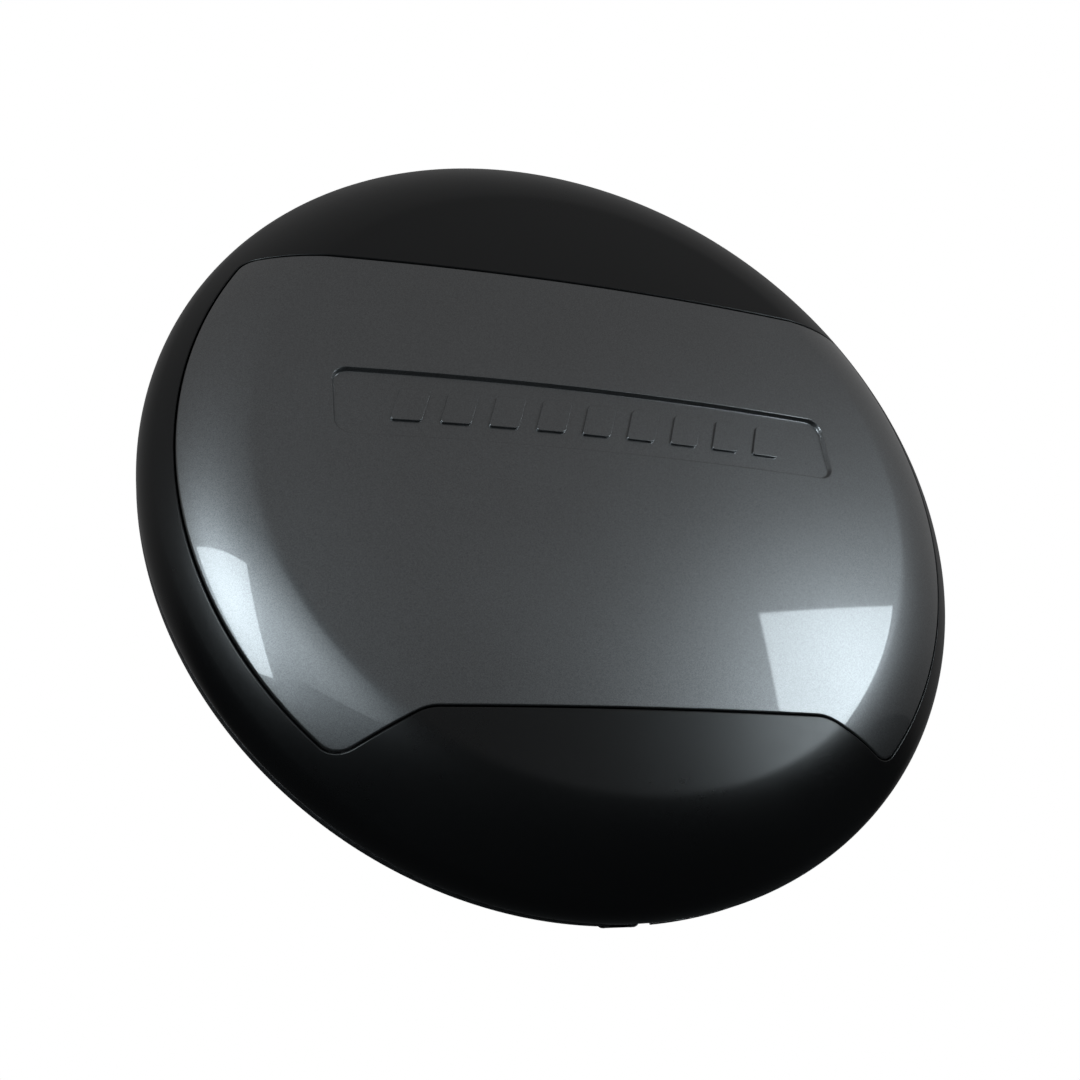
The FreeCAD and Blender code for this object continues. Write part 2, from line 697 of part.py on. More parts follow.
def lock_nut():
    """Hexagon nut that clamps the lock body in the lever."""
    reach = NUT_ACROSS / math.sqrt(3)
    corners = []
    for k in range(7):
        turn = k * math.pi / 3
        corners.append(V(NUT_LOW, -LATCH_W + reach * math.cos(turn), reach * math.sin(turn)))
    nut = Part.Face(Part.makePolygon(corners)).extrude(V(NUT_THICK, 0, 0))
    hole = Part.makeCylinder(LOCK_BODY_R, 10, V(NUT_LOW - 2, -LATCH_W, 0), V(1, 0, 0))
    return turned(nut.cut(hole), LOCK_ANGLE)


def lock_plug():
    """Turning plug of the lock with its key slot."""
    plug = radial_rod(PLUG_R, CAM_LOW + CAM_THICK, LEVER_OUT + 0.7, LATCH_W, LOCK_ANGLE)
    slot = block(LEVER_OUT - 2.3, LEVER_OUT + 2, LATCH_W - 3, LATCH_W + 3, -0.7, 0.7, LOCK_ANGLE)
    return plug.cut(slot)


def lock_cam():
    """Cam plate on the plug's inner end; it points along the ring while unlocked."""
    plate = Part.makeBox(CAM_THICK, 7, 9, V(CAM_LOW, -LATCH_W - 3.5, 0))
    hub = Part.makeCylinder(4.4, CAM_THICK, V(CAM_LOW, -LATCH_W, 0), V(1, 0, 0))
    return turned(plate.fuse(hub).removeSplitter(), LOCK_ANGLE)


def dust_cap():
    """Small swinging cover over the key slot."""
    low, high = LEVER_OUT + 1.0, LEVER_OUT + 1.0 + CAP_THICK
    disc = radial_rod(CAP_R, low, high, LATCH_W, LOCK_ANGLE)
    arm = block(low, high, LATCH_W - 4, LATCH_W + 4, 0, CAP_PIVOT_T, LOCK_ANGLE)
    pivot = (LATCH_W, LOCK_ANGLE, CAP_PIVOT_T)
    eye = radial_rod(4, low, high, *pivot)
    collar = radial_rod(3, LEVER_OUT + 0.2, low, *pivot)
    hole = radial_rod(CAP_PIN_R + RUN_CLEARANCE, LEVER_OUT - 2, high + 5, *pivot)
    return disc.fuse([arm, eye, collar]).cut(hole).removeSplitter()


def dust_cap_rivet():
    """Rivet that the dust cap swings on."""
    pivot = (LATCH_W, LOCK_ANGLE, CAP_PIVOT_T)
    shank = radial_rod(CAP_PIN_R, LEVER_IN, LEVER_OUT + 2.5, *pivot)
    return shank.fuse(radial_rod(2.8, LEVER_OUT + 2.5, LEVER_OUT + 3.3, *pivot))


def drilled(half, places):
    """A ring half with holes for rivets through its band."""
    rods = [radial_rod(RIVET_R, BAND_IN - 1, BAND_IN + RING_WALL + 1, LATCH_W, c) for c in places]
    return half.cut(rods)


def build():
    """All sub-parts by node name."""
    nodes = {
        "outer_shell": outer_shell(),
        "centre_panel": centre_panel(),
        "panel_tape": panel_tape(),
        "panel_screws": panel_screws(),
        "panel_washers": panel_washers(),
        "rim_seal": rim_seal(),
        "hinge_bracket": hinge_bracket(),
        "hinge_screws": hinge_screws(),
        "hinge_pins": hinge_pins(),
        "ring_left": drilled(ring_half(-1), CATCH_RIVETS),
        "ring_right": drilled(ring_half(1), HOUSING_RIVETS),
        "liner_left": ring_liner(HINGE_ANGLE - RING_START - LINER_START - LINER_SPAN, LINER_SPAN),
        "liner_right": ring_liner(HINGE_ANGLE + RING_START + LINER_START, LINER_SPAN),
        "latch_housing": latch_housing(),
        "housing_rivets": rivets(HOUSING_RIVETS, BAND_IN + RING_WALL + 2.02),
        "latch_lever": latch_lever(),
        "lever_pins": lever_pins(),
        "lever_stop": lever_stop(),
        "bail": bail(),
        "bail_pin": bail_pin(),
        "catch_block": catch_block(),
        "catch_rivets": rivets(CATCH_RIVETS, BAND_IN + RING_WALL + CATCH_THICK + 0.02),
        "lock_body": lock_body(),
        "lock_nut": lock_nut(),
        "lock_plug": lock_plug(),
        "lock_cam": lock_cam(),
        "dust_cap": dust_cap(),
        "dust_cap_rivet": dust_cap_rivet(),
    }
    for number, clock in enumerate(BUFFER_ANGLES, 1):
        nodes[f"buffer_{number}"] = buffer(clock)
    return nodes


os.makedirs("parts", exist_ok=True)
for name, shape in build().items():
    shape.exportStep(f"parts/{name}.step")
    print(name, len(shape.Solids), "solids", round(shape.Volume / 1000, 1), "cm3", shape.isValid())
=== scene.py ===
"""Studio scene of a hard cover for a spare tyre.

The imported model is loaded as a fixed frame. The large mouldings, the clamp ring, its liners,
the seal, the buffers and the panel screws are modelled again here with rolled edges and fine
curvature. The hinge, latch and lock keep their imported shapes. Every piece gets a procedural
finish. Metres; +Z is up, the painted face looks along -Y and the disc's axis passes through
the origin.
"""

from __future__ import annotations

import json
import logging
import math
from dataclasses import dataclass
from enum import Enum
from typing import Callable, Iterable, Sequence

import bmesh
import bpy
from mathutils import Matrix, Vector


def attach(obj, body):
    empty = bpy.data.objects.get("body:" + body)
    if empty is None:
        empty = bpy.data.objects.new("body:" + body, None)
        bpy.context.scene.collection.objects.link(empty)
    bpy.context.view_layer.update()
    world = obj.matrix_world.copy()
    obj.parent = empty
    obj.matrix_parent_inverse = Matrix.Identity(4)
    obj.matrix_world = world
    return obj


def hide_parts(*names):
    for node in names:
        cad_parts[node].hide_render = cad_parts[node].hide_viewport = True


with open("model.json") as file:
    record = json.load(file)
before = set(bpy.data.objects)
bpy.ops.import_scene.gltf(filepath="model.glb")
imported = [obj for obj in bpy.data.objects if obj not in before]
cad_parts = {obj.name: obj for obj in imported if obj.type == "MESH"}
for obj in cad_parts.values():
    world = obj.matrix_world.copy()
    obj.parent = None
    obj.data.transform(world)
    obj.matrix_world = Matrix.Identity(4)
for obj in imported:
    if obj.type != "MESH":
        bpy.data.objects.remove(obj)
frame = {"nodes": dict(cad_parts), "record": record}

LOG = logging.getLogger("tyre_cover")
MM = 0.001
FORWARD = Vector((0, -1, 0))

Profile = Sequence[tuple[float, float]]
Depth = Callable[[float, float], float]


class Slot(Enum):
    """Material slots of the record."""

    SHELL = "shell_black"
    PANEL = "panel_paint"
    RING = "ring_coat"
    LATCH = "latch_black"
    RUBBER = "rubber"
    FOAM = "foam"
    ZINC = "zinc_steel"
    CHROME = "lock_chrome"


class Body(Enum):
    """Bodies that pieces ride on."""

    SHELL = "shell"
    RING_LEFT = "ring_left"
    RING_RIGHT = "ring_right"


# --------------------------------------------------------------------------------------
# Shader graphs and the effects that several finishes share
# --------------------------------------------------------------------------------------


class Graph:
    """Adds nodes to a shader tree and wires them."""

    def __init__(self, tree: bpy.types.NodeTree) -> None:
        """Work on a tree.

        Args:
            tree: Node tree of a material, a group or the world.
        """
        self.tree = tree

    def add(self, kind: str, inputs: dict | None = None, **settings: object) -> bpy.types.Node:
        """Add a node.

        Args:
            kind: Node type.
            inputs: Values or output sockets by input name or number.
            settings: Properties of the node.

        Returns:
            The new node.
        """
        node = self.tree.nodes.new(kind)
        for name, value in settings.items():
            setattr(node, name, value)
        for name, value in (inputs or {}).items():
            if isinstance(value, bpy.types.NodeSocket):
                self.tree.links.new(value, node.inputs[name])
            else:
                node.inputs[name].default_value = value
        return node

    def math(self, operation: str, *values: object, clamp: bool = False) -> bpy.types.NodeSocket:
        """Add a Math node.

        Args:
            operation: Name of the operation.
            values: Numbers or sockets, in order.
            clamp: Keep the result between 0 and 1.

        Returns:
            Its output socket.
        """
        inputs = dict(enumerate(values))
        return self.add("ShaderNodeMath", inputs, operation=operation, use_clamp=clamp).outputs[0]

    def times(self, one: object, two: object, clamp: bool = False) -> bpy.types.NodeSocket:
        """Multiply two values."""
        return self.math("MULTIPLY", one, two, clamp=clamp)

    def plus(self, one: object, two: object, clamp: bool = False) -> bpy.types.NodeSocket:
        """Add two values."""
        return self.math("ADD", one, two, clamp=clamp)

    def remap(self, value: object, low: float, high: float, to_low: float, to_high: float
              ) -> bpy.types.NodeSocket:
        """Map a range of values to another, clamped.

        Args:
            value: Socket to read.
            low: Start of the range read.
            high: End of the range read.
            to_low: Result at the start.
            to_high: Result at the end.

        Returns:
            The mapped socket.
        """
        names = ("Value", "From Min", "From Max", "To Min", "To Max")
        inputs = dict(zip(names, (value, low, high, to_low, to_high)))
        return self.add("ShaderNodeMapRange", inputs).outputs["Result"]

    def noise(self, vector: object, scale: float, detail: float = 2.0, rough: float = 0.5
              ) -> bpy.types.NodeSocket:
        """Add a noise texture.

        Args:
            vector: Coordinates.
            scale: Features per metre.
            detail: Octaves.
            rough: Roughness of the octaves.

        Returns:
            The noise value, about 0 to 1.
        """
        inputs = {"Vector": vector, "Scale": scale, "Detail": detail, "Roughness": rough}
        return self.add("ShaderNodeTexNoise", inputs).outputs[0]


class Effects:
    """Shader groups that several finishes use, each built once."""

    SCRATCH_TURNS = (0.35, 1.9)
    SCRATCH_STRETCH = (14.0, 260.0, 420.0)

    def __init__(self) -> None:
        """Start with no groups built."""
        self.made: dict[str, bpy.types.NodeTree] = {}

    def group(self, name: str, inputs: dict[str, float], outputs: Sequence[str],
              fill: Callable[[Graph, bpy.types.Node], dict]) -> bpy.types.NodeTree:
        """Return a group, building it at first use.

        Args:
            name: Name of the group.
            inputs: Default of each float input; a Vector input is always there.
            outputs: Names of the float outputs.
            fill: Adds the nodes and returns a socket for each output.

        Returns:
            The shader group.
        """
        if name in self.made:
            return self.made[name]
        tree = bpy.data.node_groups.new(name, "ShaderNodeTree")
        tree.interface.new_socket("Vector", in_out="INPUT", socket_type="NodeSocketVector")
        for socket, value in inputs.items():
            made = tree.interface.new_socket(socket, in_out="INPUT", socket_type="NodeSocketFloat")
            made.default_value = value
        for socket in outputs:
            tree.interface.new_socket(socket, in_out="OUTPUT", socket_type="NodeSocketFloat")
        graph = Graph(tree)
        entry = graph.add("NodeGroupInput")
        graph.add("NodeGroupOutput", fill(graph, entry))
        self.made[name] = tree
        return tree

    def mottle(self) -> bpy.types.NodeTree:
        """Slow and fast changes of shade over a surface."""

        def fill(graph: Graph, entry: bpy.types.Node) -> dict:
            """Two noises, broad and fine, round a middle of one."""
            where = entry.outputs["Vector"]
            broad = graph.noise(where, entry.outputs["Broad"], 3.0)
            fine = graph.noise(where, entry.outputs["Fine"], 2.0)
            both = graph.plus(graph.times(broad, 0.65), graph.times(fine, 0.35))
            middle = graph.math("SUBTRACT", both, 0.5)
            swing = graph.times(middle, entry.outputs["Amount"])
            return {"Shade": graph.plus(swing, 1.0), "Value": both}

        inputs = {"Broad": 8.0, "Fine": 160.0, "Amount": 0.2}
        return self.group("mottle", inputs, ("Shade", "Value"), fill)

    def grain(self) -> bpy.types.NodeTree:
        """Pebbled skin of a textured mould."""

        def fill(graph: Graph, entry: bpy.types.Node) -> dict:
            """Cells joined to a fine noise."""
            where, scale = entry.outputs["Vector"], entry.outputs["Scale"]
            cells = graph.add(
                "ShaderNodeTexVoronoi", {"Vector": where, "Scale": scale}, feature="SMOOTH_F1")
            finer = graph.noise(where, graph.times(scale, 2.3), 2.0)
            finer = graph.times(finer, 0.6)
            return {"Height": graph.plus(cells.outputs["Distance"], finer)}

        return self.group("grain", {"Scale": 900.0}, ("Height",), fill)

    def peel(self) -> bpy.types.NodeTree:
        """Orange peel of a sprayed or powder coat."""

        def fill(graph: Graph, entry: bpy.types.Node) -> dict:
            """A smooth noise and a slower one under it."""
            where, scale = entry.outputs["Vector"], entry.outputs["Scale"]
            near = graph.noise(where, scale, 1.0, 0.4)
            wide = graph.noise(where, graph.times(scale, 0.23), 1.0)
            return {"Height": graph.plus(near, graph.times(wide, 1.4))}

        return self.group("peel", {"Scale": 220.0}, ("Height",), fill)

    def scuffs(self) -> bpy.types.NodeTree:
        """Hair scratches in two directions, here and there."""

        def fill(graph: Graph, entry: bpy.types.Node) -> dict:
            """Stretched noises cut to thin lines, inside patches."""
            where = entry.outputs["Vector"]
            lines = []
            for turn in self.SCRATCH_TURNS:
                placed = graph.add(
                    "ShaderNodeMapping",
                    {"Vector": where, "Rotation": (0.0, turn, 0.0), "Scale": self.SCRATCH_STRETCH})
                streak = graph.noise(placed.outputs["Vector"], 1.0, 2.0)
                lines.append(graph.remap(streak, 0.64, 0.70, 0.0, 1.0))
            cloud = graph.noise(where, entry.outputs["Patches"], 2.0)
            patch = graph.remap(cloud, 0.5, 0.68, 0.0, 1.0)
            both = graph.math("MAXIMUM", *lines)
            return {"Mask": graph.times(both, patch, clamp=True)}

        return self.group("scuffs", {"Patches": 7.0}, ("Mask",), fill)

    def wear(self) -> bpy.types.NodeTree:
        """Rubbed edges, broken up by a noise."""

        def fill(graph: Graph, entry: bpy.types.Node) -> dict:
            """Pointed edges times a noise."""
            point = graph.add("ShaderNodeNewGeometry").outputs["Pointiness"]
            edge = graph.remap(point, 0.515, 0.56, 0.0, 1.0)
            cloud = graph.noise(entry.outputs["Vector"], 130.0, 3.0)
            worn = graph.remap(cloud, 0.42, 0.62, 0.0, 1.0)
            mask = graph.times(graph.times(edge, worn), entry.outputs["Amount"], clamp=True)
            return {"Mask": mask}

        return self.group("wear", {"Amount": 0.5}, ("Mask",), fill)

    def dust(self) -> bpy.types.NodeTree:
        """Thin dust on what faces up, patchy."""

        def fill(graph: Graph, entry: bpy.types.Node) -> dict:
            """The normal's height times a noise."""
            normal = graph.add("ShaderNodeNewGeometry").outputs["Normal"]
            up = graph.add("ShaderNodeSeparateXYZ", {0: normal}).outputs["Z"]
            level = graph.remap(up, 0.2, 1.0, 0.0, 1.0)
            cloud = graph.noise(entry.outputs["Vector"], 34.0, 4.0, 0.6)
            patch = graph.remap(cloud, 0.35, 0.75, 0.2, 1.0)
            mask = graph.times(graph.times(level, patch), entry.outputs["Amount"], clamp=True)
            return {"Mask": mask}

        return self.group("dust", {"Amount": 0.1}, ("Mask",), fill)


FLAKE_SCALE = 1900.0
DUST_COLOUR = (0.22, 0.21, 0.19)
DUST_ROUGHNESS = 0.35
DUST_DULLING = 0.6


@dataclass(frozen=True)
class Finish:
    """A procedural finish: base colour with shade changes, relief, scuffs, wear and dust."""

    slot: Slot
    colour: tuple[float, float, float]
    roughness: float
    metallic: float = 0.0
    roughness_swing: float = 0.12
    shade: float = 0.25
    broad: float = 8.0
    fine: float = 160.0
    relief: str = "grain"
    relief_scale: float = 900.0
    relief_depth: float = 0.02 * MM
    worn_colour: tuple[float, float, float] = (0.05, 0.05, 0.05)
    worn: float = 0.4
    scuffed: float = 0.15
    dusty: float = 0.05
    coat: float = 0.0
    coat_roughness: float = 0.03
    coat_ior: float = 1.5
    flakes: float = 0.0

    def mix(self, graph: Graph, factor: object, one: object, two: object,
            blend: str = "MIX") -> bpy.types.NodeSocket:
        """Mix two colours.

        Args:
            graph: Graph of the material.
            factor: Share of the second colour.
            one: First colour.
            two: Second colour.
            blend: Blend mode.

        Returns:
            The mixed colour.
        """
        node = graph.add("ShaderNodeMix", data_type="RGBA", blend_type=blend)
        for index, value in ((0, factor), (6, one), (7, two)):
            if isinstance(value, bpy.types.NodeSocket):
                graph.tree.links.new(value, node.inputs[index])
            else:
                node.inputs[index].default_value = value if index == 0 else (*value, 1.0)
        return node.outputs[2]

    def build(self, effects: Effects) -> bpy.types.Material:
        """Make the material.

        Args:
            effects: Shared shader groups.

        Returns:
            The material, named after its slot.
        """
        material = bpy.data.materials.new(self.slot.value)
        material.use_nodes = True
        graph = Graph(material.node_tree)
        shader = material.node_tree.nodes["Principled BSDF"]
        where = graph.add("ShaderNodeTexCoord").outputs["Object"]

        def use(tree: bpy.types.NodeTree, **values: float) -> bpy.types.Node:
            """Place a shared group with its own values."""
            return graph.add("ShaderNodeGroup", {"Vector": where, **values}, node_tree=tree)

        mottle = use(effects.mottle(), Broad=self.broad, Fine=self.fine, Amount=self.shade)
        scuffs = use(effects.scuffs()).outputs["Mask"]
        wear = use(effects.wear(), Amount=self.worn).outputs["Mask"]
        dust = use(effects.dust(), Amount=self.dusty).outputs["Mask"]
        tree = effects.grain() if self.relief == "grain" else effects.peel()
        relief = use(tree, Scale=self.relief_scale).outputs["Height"]

        shade = graph.add("ShaderNodeCombineColor", {i: mottle.outputs["Shade"] for i in range(3)})
        colour = self.mix(graph, 1.0, self.colour, shade.outputs[0], "MULTIPLY")
        if self.flakes:
            cell = graph.add("ShaderNodeTexVoronoi", {"Vector": where, "Scale": FLAKE_SCALE})
            bright = graph.add("ShaderNodeSeparateColor", {0: cell.outputs["Color"]}).outputs[0]
            glint = graph.remap(bright, 0.0, 1.0, 1.0 - self.flakes, 1.0 + self.flakes)
            flake = graph.add("ShaderNodeCombineColor", {i: glint for i in range(3)})
            colour = self.mix(graph, 1.0, colour, flake.outputs[0], "MULTIPLY")
        colour = self.mix(graph, wear, colour, self.worn_colour)
        colour = self.mix(graph, dust, colour, DUST_COLOUR)
        graph.tree.links.new(colour, shader.inputs["Base Color"])

        middle = graph.math("SUBTRACT", mottle.outputs["Value"], 0.5)
        swing = graph.times(middle, self.roughness_swing)
        rough = graph.plus(swing, self.roughness)
        rough = graph.plus(rough, graph.times(scuffs, self.scuffed))
        rough = graph.plus(rough, graph.times(dust, DUST_ROUGHNESS), clamp=True)
        graph.tree.links.new(rough, shader.inputs["Roughness"])

        bump = graph.add(
            "ShaderNodeBump", {"Height": relief, "Distance": self.relief_depth, "Strength": 1.0})
        graph.tree.links.new(bump.outputs["Normal"], shader.inputs["Normal"])
        shader.inputs["Metallic"].default_value = self.metallic
        if self.coat:
            clear = graph.math("SUBTRACT", self.coat, graph.times(dust, DUST_DULLING), clamp=True)
            graph.tree.links.new(clear, shader.inputs["Coat Weight"])
            shader.inputs["Coat Roughness"].default_value = self.coat_roughness
            shader.inputs["Coat IOR"].default_value = self.coat_ior
        return material


FINISHES = (
    Finish(Slot.SHELL, (0.0030, 0.0030, 0.0033), 0.29, relief_scale=1300.0,
           relief_depth=0.006 * MM, worn=0.15, worn_colour=(0.03, 0.03, 0.03), scuffed=0.10,
           dusty=0.03),
    Finish(Slot.PANEL, (0.185, 0.188, 0.192), 0.385, metallic=1.0, shade=0.06, relief="peel",
           relief_scale=180.0, relief_depth=0.004 * MM, worn=0.05, scuffed=0.05, dusty=0.02,
           coat=1.0, coat_roughness=0.035, flakes=0.22),
    Finish(Slot.RING, (0.014, 0.014, 0.015), 0.42, relief="peel", relief_scale=520.0,
           relief_depth=0.012 * MM, worn=0.35, worn_colour=(0.16, 0.16, 0.17), dusty=0.06),
    Finish(Slot.LATCH, (0.012, 0.012, 0.012), 0.45, relief_scale=1500.0, relief_depth=0.015 * MM,
           worn=0.4, worn_colour=(0.06, 0.06, 0.06)),
    Finish(Slot.RUBBER, (0.011, 0.011, 0.011), 0.72, relief_scale=700.0, relief_depth=0.04 * MM,
           shade=0.35, worn=0.2, dusty=0.12),
    Finish(Slot.FOAM, (0.02, 0.02, 0.021), 0.9, relief_scale=1700.0, relief_depth=0.12 * MM,
           worn=0.0),
    Finish(Slot.ZINC, (0.48, 0.49, 0.50), 0.32, metallic=1.0, relief="peel", relief_scale=900.0,
           relief_depth=0.008 * MM, worn=0.3, worn_colour=(0.62, 0.62, 0.60), scuffed=0.25),
    Finish(Slot.CHROME, (0.62, 0.62, 0.63), 0.12, metallic=1.0, shade=0.08, relief="peel",
           relief_scale=300.0, relief_depth=0.003 * MM, worn=0.2, worn_colour=(0.4, 0.38, 0.34),
           scuffed=0.30),
)


# --------------------------------------------------------------------------------------
# Mesh helpers
# --------------------------------------------------------------------------------------


def add_profile(bm: bmesh.types.BMesh, points: Profile, closed: bool = False) -> list:
    """Draw a section as vertices and edges.

    Args:
        bm: Mesh to draw in.
        points: Distance from the axis and distance forward, in metres.
        closed: Join the last point to the first.

    Returns:
        The new vertices and edges.
    """
    verts = [bm.verts.new((r, -w, 0.0)) for r, w in points]
    pairs = list(zip(verts, verts[1:]))
    if closed:
        pairs.append((verts[-1], verts[0]))
    return verts + [bm.edges.new(pair) for pair in pairs]


def spin(bm: bmesh.types.BMesh, geom: list, start: float, span: float, steps: int) -> list:
    """Turn a section round the disc's axis.

    Args:
        bm: Mesh that holds the section.
        geom: Vertices and edges of the section.
        start: Clock angle in degrees where the turning starts.
        span: Angle turned in degrees; 360 joins up.
        steps: Number of steps.

    Returns:
        The section's last copy.
    """
    verts = [g for g in geom if isinstance(g, bmesh.types.BMVert)]
    turn = Matrix.Rotation(math.radians(start), 3, FORWARD)
    bmesh.ops.rotate(bm, verts=verts, cent=(0, 0, 0), matrix=turn)
    made = bmesh.ops.spin(
        bm, geom=geom, cent=(0, 0, 0), axis=FORWARD, angle=math.radians(span), steps=steps,
        use_merge=span >= 360, use_duplicate=False)
    return made["geom_last"]


def settle(bm: bmesh.types.BMesh, distance: float = 1e-6) -> None:
    """Merge doubles and turn every face outwards.

    Args:
        bm: Mesh to settle.
        distance: Vertices nearer than this become one.
    """
    bmesh.ops.remove_doubles(bm, verts=bm.verts[:], dist=distance)
    bmesh.ops.dissolve_degenerate(bm, dist=distance, edges=bm.edges[:])
    bmesh.ops.recalc_face_normals(bm, faces=bm.faces[:])


def rounded(points: Sequence[tuple], radius: float, segments: int = 3) -> list[tuple]:
    """Round the corners of a closed section.

    Args:
        points: Corners in millimetres; a third value is that corner's own radius.
        radius: Radius of the other corners, cut back where a side is short.
        segments: Pieces per corner.

    Returns:
        The rounded section in metres.
    """
    result = []
    count = len(points)
    for i, corner in enumerate(points):
        here = Vector(corner[:2]) * MM
        back = Vector(points[i - 1][:2]) * MM - here
        ahead = Vector(points[(i + 1) % count][:2]) * MM - here
        wanted = (corner[2] if len(corner) > 2 else radius) * MM
        reach = min(wanted, 0.45 * back.length, 0.45 * ahead.length)
        first, last = here + back.normalized() * reach, here + ahead.normalized() * reach
        for k in range(segments + 1):
            t = k / segments
            result.append(tuple((1 - t) ** 2 * first + 2 * t * (1 - t) * here + t**2 * last))
    return result


def close_ends(bm: bmesh.types.BMesh) -> None:
    """Close every open end of a mesh with a face.

    Args:
        bm: Mesh whose open ends are whole loops.
    """
    open_edges = [e for e in bm.edges if e.is_boundary]
    bmesh.ops.holes_fill(bm, edges=open_edges, sides=0)


def arc_body(bm: bmesh.types.BMesh, points: Profile, start: float, span: float,
             steps: int) -> None:
    """Add a closed section turned over part of the circle, with its ends closed.

    Args:
        bm: Mesh to add to.
        points: Closed section in metres.
        start: Clock angle of the first end in degrees.
        span: Angle turned in degrees.
        steps: Number of steps.
    """
    part = bmesh.new()
    spin(part, add_profile(part, points, closed=True), start, span, steps)
    bmesh.ops.remove_doubles(part, verts=part.verts[:], dist=1e-6)
    close_ends(part)
    bmesh.ops.recalc_face_normals(part, faces=part.faces[:])
    join(bm, part)


def lathe(points: Profile, steps: int) -> bmesh.types.BMesh:
    """Turn a section round an upright axis through the origin.

    Args:
        points: Distance from the axis and height, from one end of the axis to the other, or
            a closed ring's section.
        steps: Number of steps.

    Returns:
        The turned mesh, its axis along Z.
    """
    part = bmesh.new()
    closed = points[0][0] > 1e-9
    verts = [part.verts.new((r, 0.0, z)) for r, z in points]
    pairs = list(zip(verts, verts[1:])) + ([(verts[-1], verts[0])] if closed else [])
    geom = verts + [part.edges.new(pair) for pair in pairs]
    bmesh.ops.spin(
        part, geom=geom, cent=(0, 0, 0), axis=(0, 0, 1), angle=2 * math.pi, steps=steps,
        use_merge=True, use_duplicate=False)
    settle(part)
    return part


def block(size: Sequence[float], bevel: float, segments: int = 2) -> bmesh.types.BMesh:
    """Make a block about the origin with rounded edges.

    Args:
        size: Lengths along X, Y and Z.
        bevel: Radius of the edges.
        segments: Pieces per edge.

    Returns:
        The block.
    """
    part = bmesh.new()
    bmesh.ops.create_cube(part, size=1.0)
    bmesh.ops.scale(part, verts=part.verts[:], vec=size)
    bmesh.ops.bevel(
        part, geom=part.edges[:], offset=bevel, offset_type="OFFSET", affect="EDGES",
        segments=segments, profile=0.5, material=-1)
    return part


def join(bm: bmesh.types.BMesh, part: bmesh.types.BMesh, place: Matrix | None = None) -> None:
    """Move a finished part into another mesh; the part is freed.

    Args:
        bm: Mesh to add to.
        part: Part to add.
        place: Where it goes.
    """
    if place is not None:
        bmesh.ops.transform(part, matrix=place, verts=part.verts[:])
    scratch = bpy.data.meshes.new("scratch")
    part.to_mesh(scratch)
    part.free()
    bm.from_mesh(scratch)
    bpy.data.meshes.remove(scratch)


def clock_turn(clock: float) -> Matrix:
    """Turn about the disc's axis to a clock angle in degrees."""
    return Matrix.Rotation(math.radians(clock), 4, FORWARD)


def outward(r: float, w: float, t: float, clock: float) -> Matrix:
    """Place a part whose +Z is to point away from the disc's axis.

    Args:
        r: Distance from the axis.
        w: Distance forward.
        t: Tangential shift.
        clock: Clock angle in degrees.

    Returns:
        The placing matrix.
    """
    tip = Matrix.Rotation(math.radians(90), 4, "Y")
    return clock_turn(clock) @ Matrix.Translation((r, -w, t)) @ tip


def finish_mesh(bm: bmesh.types.BMesh, name: str, sharp: float = 40.0,
                normal_at: Callable[[Vector], Vector | None] | None = None) -> bpy.types.Object:
    """Turn a mesh into an object with smooth faces and sharp creases.

    Args:
        bm: Finished mesh; it is freed.
        name: Name of the piece.
        sharp: Edges steeper than this angle in degrees stay sharp.
        normal_at: Gives the true normal at a vertex, or None where faces decide.

    Returns:
        The new object, at the origin.
    """
    many = [f for f in bm.faces if len(f.verts) > 4]
    if many:
        bmesh.ops.triangulate(bm, faces=many)
    limit = math.radians(sharp)
    for face in bm.faces:
        face.smooth = True
    for edge in bm.edges:
        edge.smooth = len(edge.link_faces) == 2 and edge.calc_face_angle(0.0) < limit
    mesh = bpy.data.meshes.new(name)
    if normal_at:
        for edge in bm.edges:
            if all(normal_at(v.co) for v in edge.verts):
                edge.smooth = True
    bm.to_mesh(mesh)
    bm.free()
    if normal_at:
        true = [normal_at(v.co) for v in mesh.vertices]
        corners = [corner.vector.copy() for corner in mesh.corner_normals]
        for loop in mesh.loops:
            corners[loop.index] = true[loop.vertex_index] or corners[loop.index]
        mesh.normals_split_custom_set(corners)
    piece = bpy.data.objects.new(name, mesh)
    bpy.context.scene.collection.objects.link(piece)
    return piece


class Workshop:
    """Keeps the finishes, and dresses and reports each piece."""

    def __init__(self) -> None:
        """Build every finish."""
        effects = Effects()
        self.materials = {finish.slot: finish.build(effects) for finish in FINISHES}

    def dress(self, piece: bpy.types.Object, slot: Slot, body: Body, *nodes: str) -> None:
        """Give a new piece its finish, body and the nodes it stands for.

        Args:
            piece: The new piece.
            slot: Its material slot.
            body: The body it rides on.
            nodes: CAD nodes that it replaces.
        """
        piece.data.materials.clear()
        piece.data.materials.append(self.materials[slot])
        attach(piece, body.value)
        if nodes:
            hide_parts(*nodes)
        faces = len(piece.data.polygons)
        LOG.info("%s: %d faces, %s, on %s", piece.name, faces, slot.value, body.value)

    def dress_nodes(self, slots: dict[str, str]) -> None:
        """Give every CAD node the finish of its slot.

        Args:
            slots: Slot name by node name.
        """
        by_name = {slot.value: slot for slot in Slot}
        for name, node in frame["nodes"].items():
            material = self.materials[by_name[slots[name]]]
            node.data.materials.clear()
            node.data.materials.append(material)
            LOG.info("%s: carried over, %s", name, slots[name])


# --------------------------------------------------------------------------------------
# The form of the dome and the outline of the centre panel
# --------------------------------------------------------------------------------------


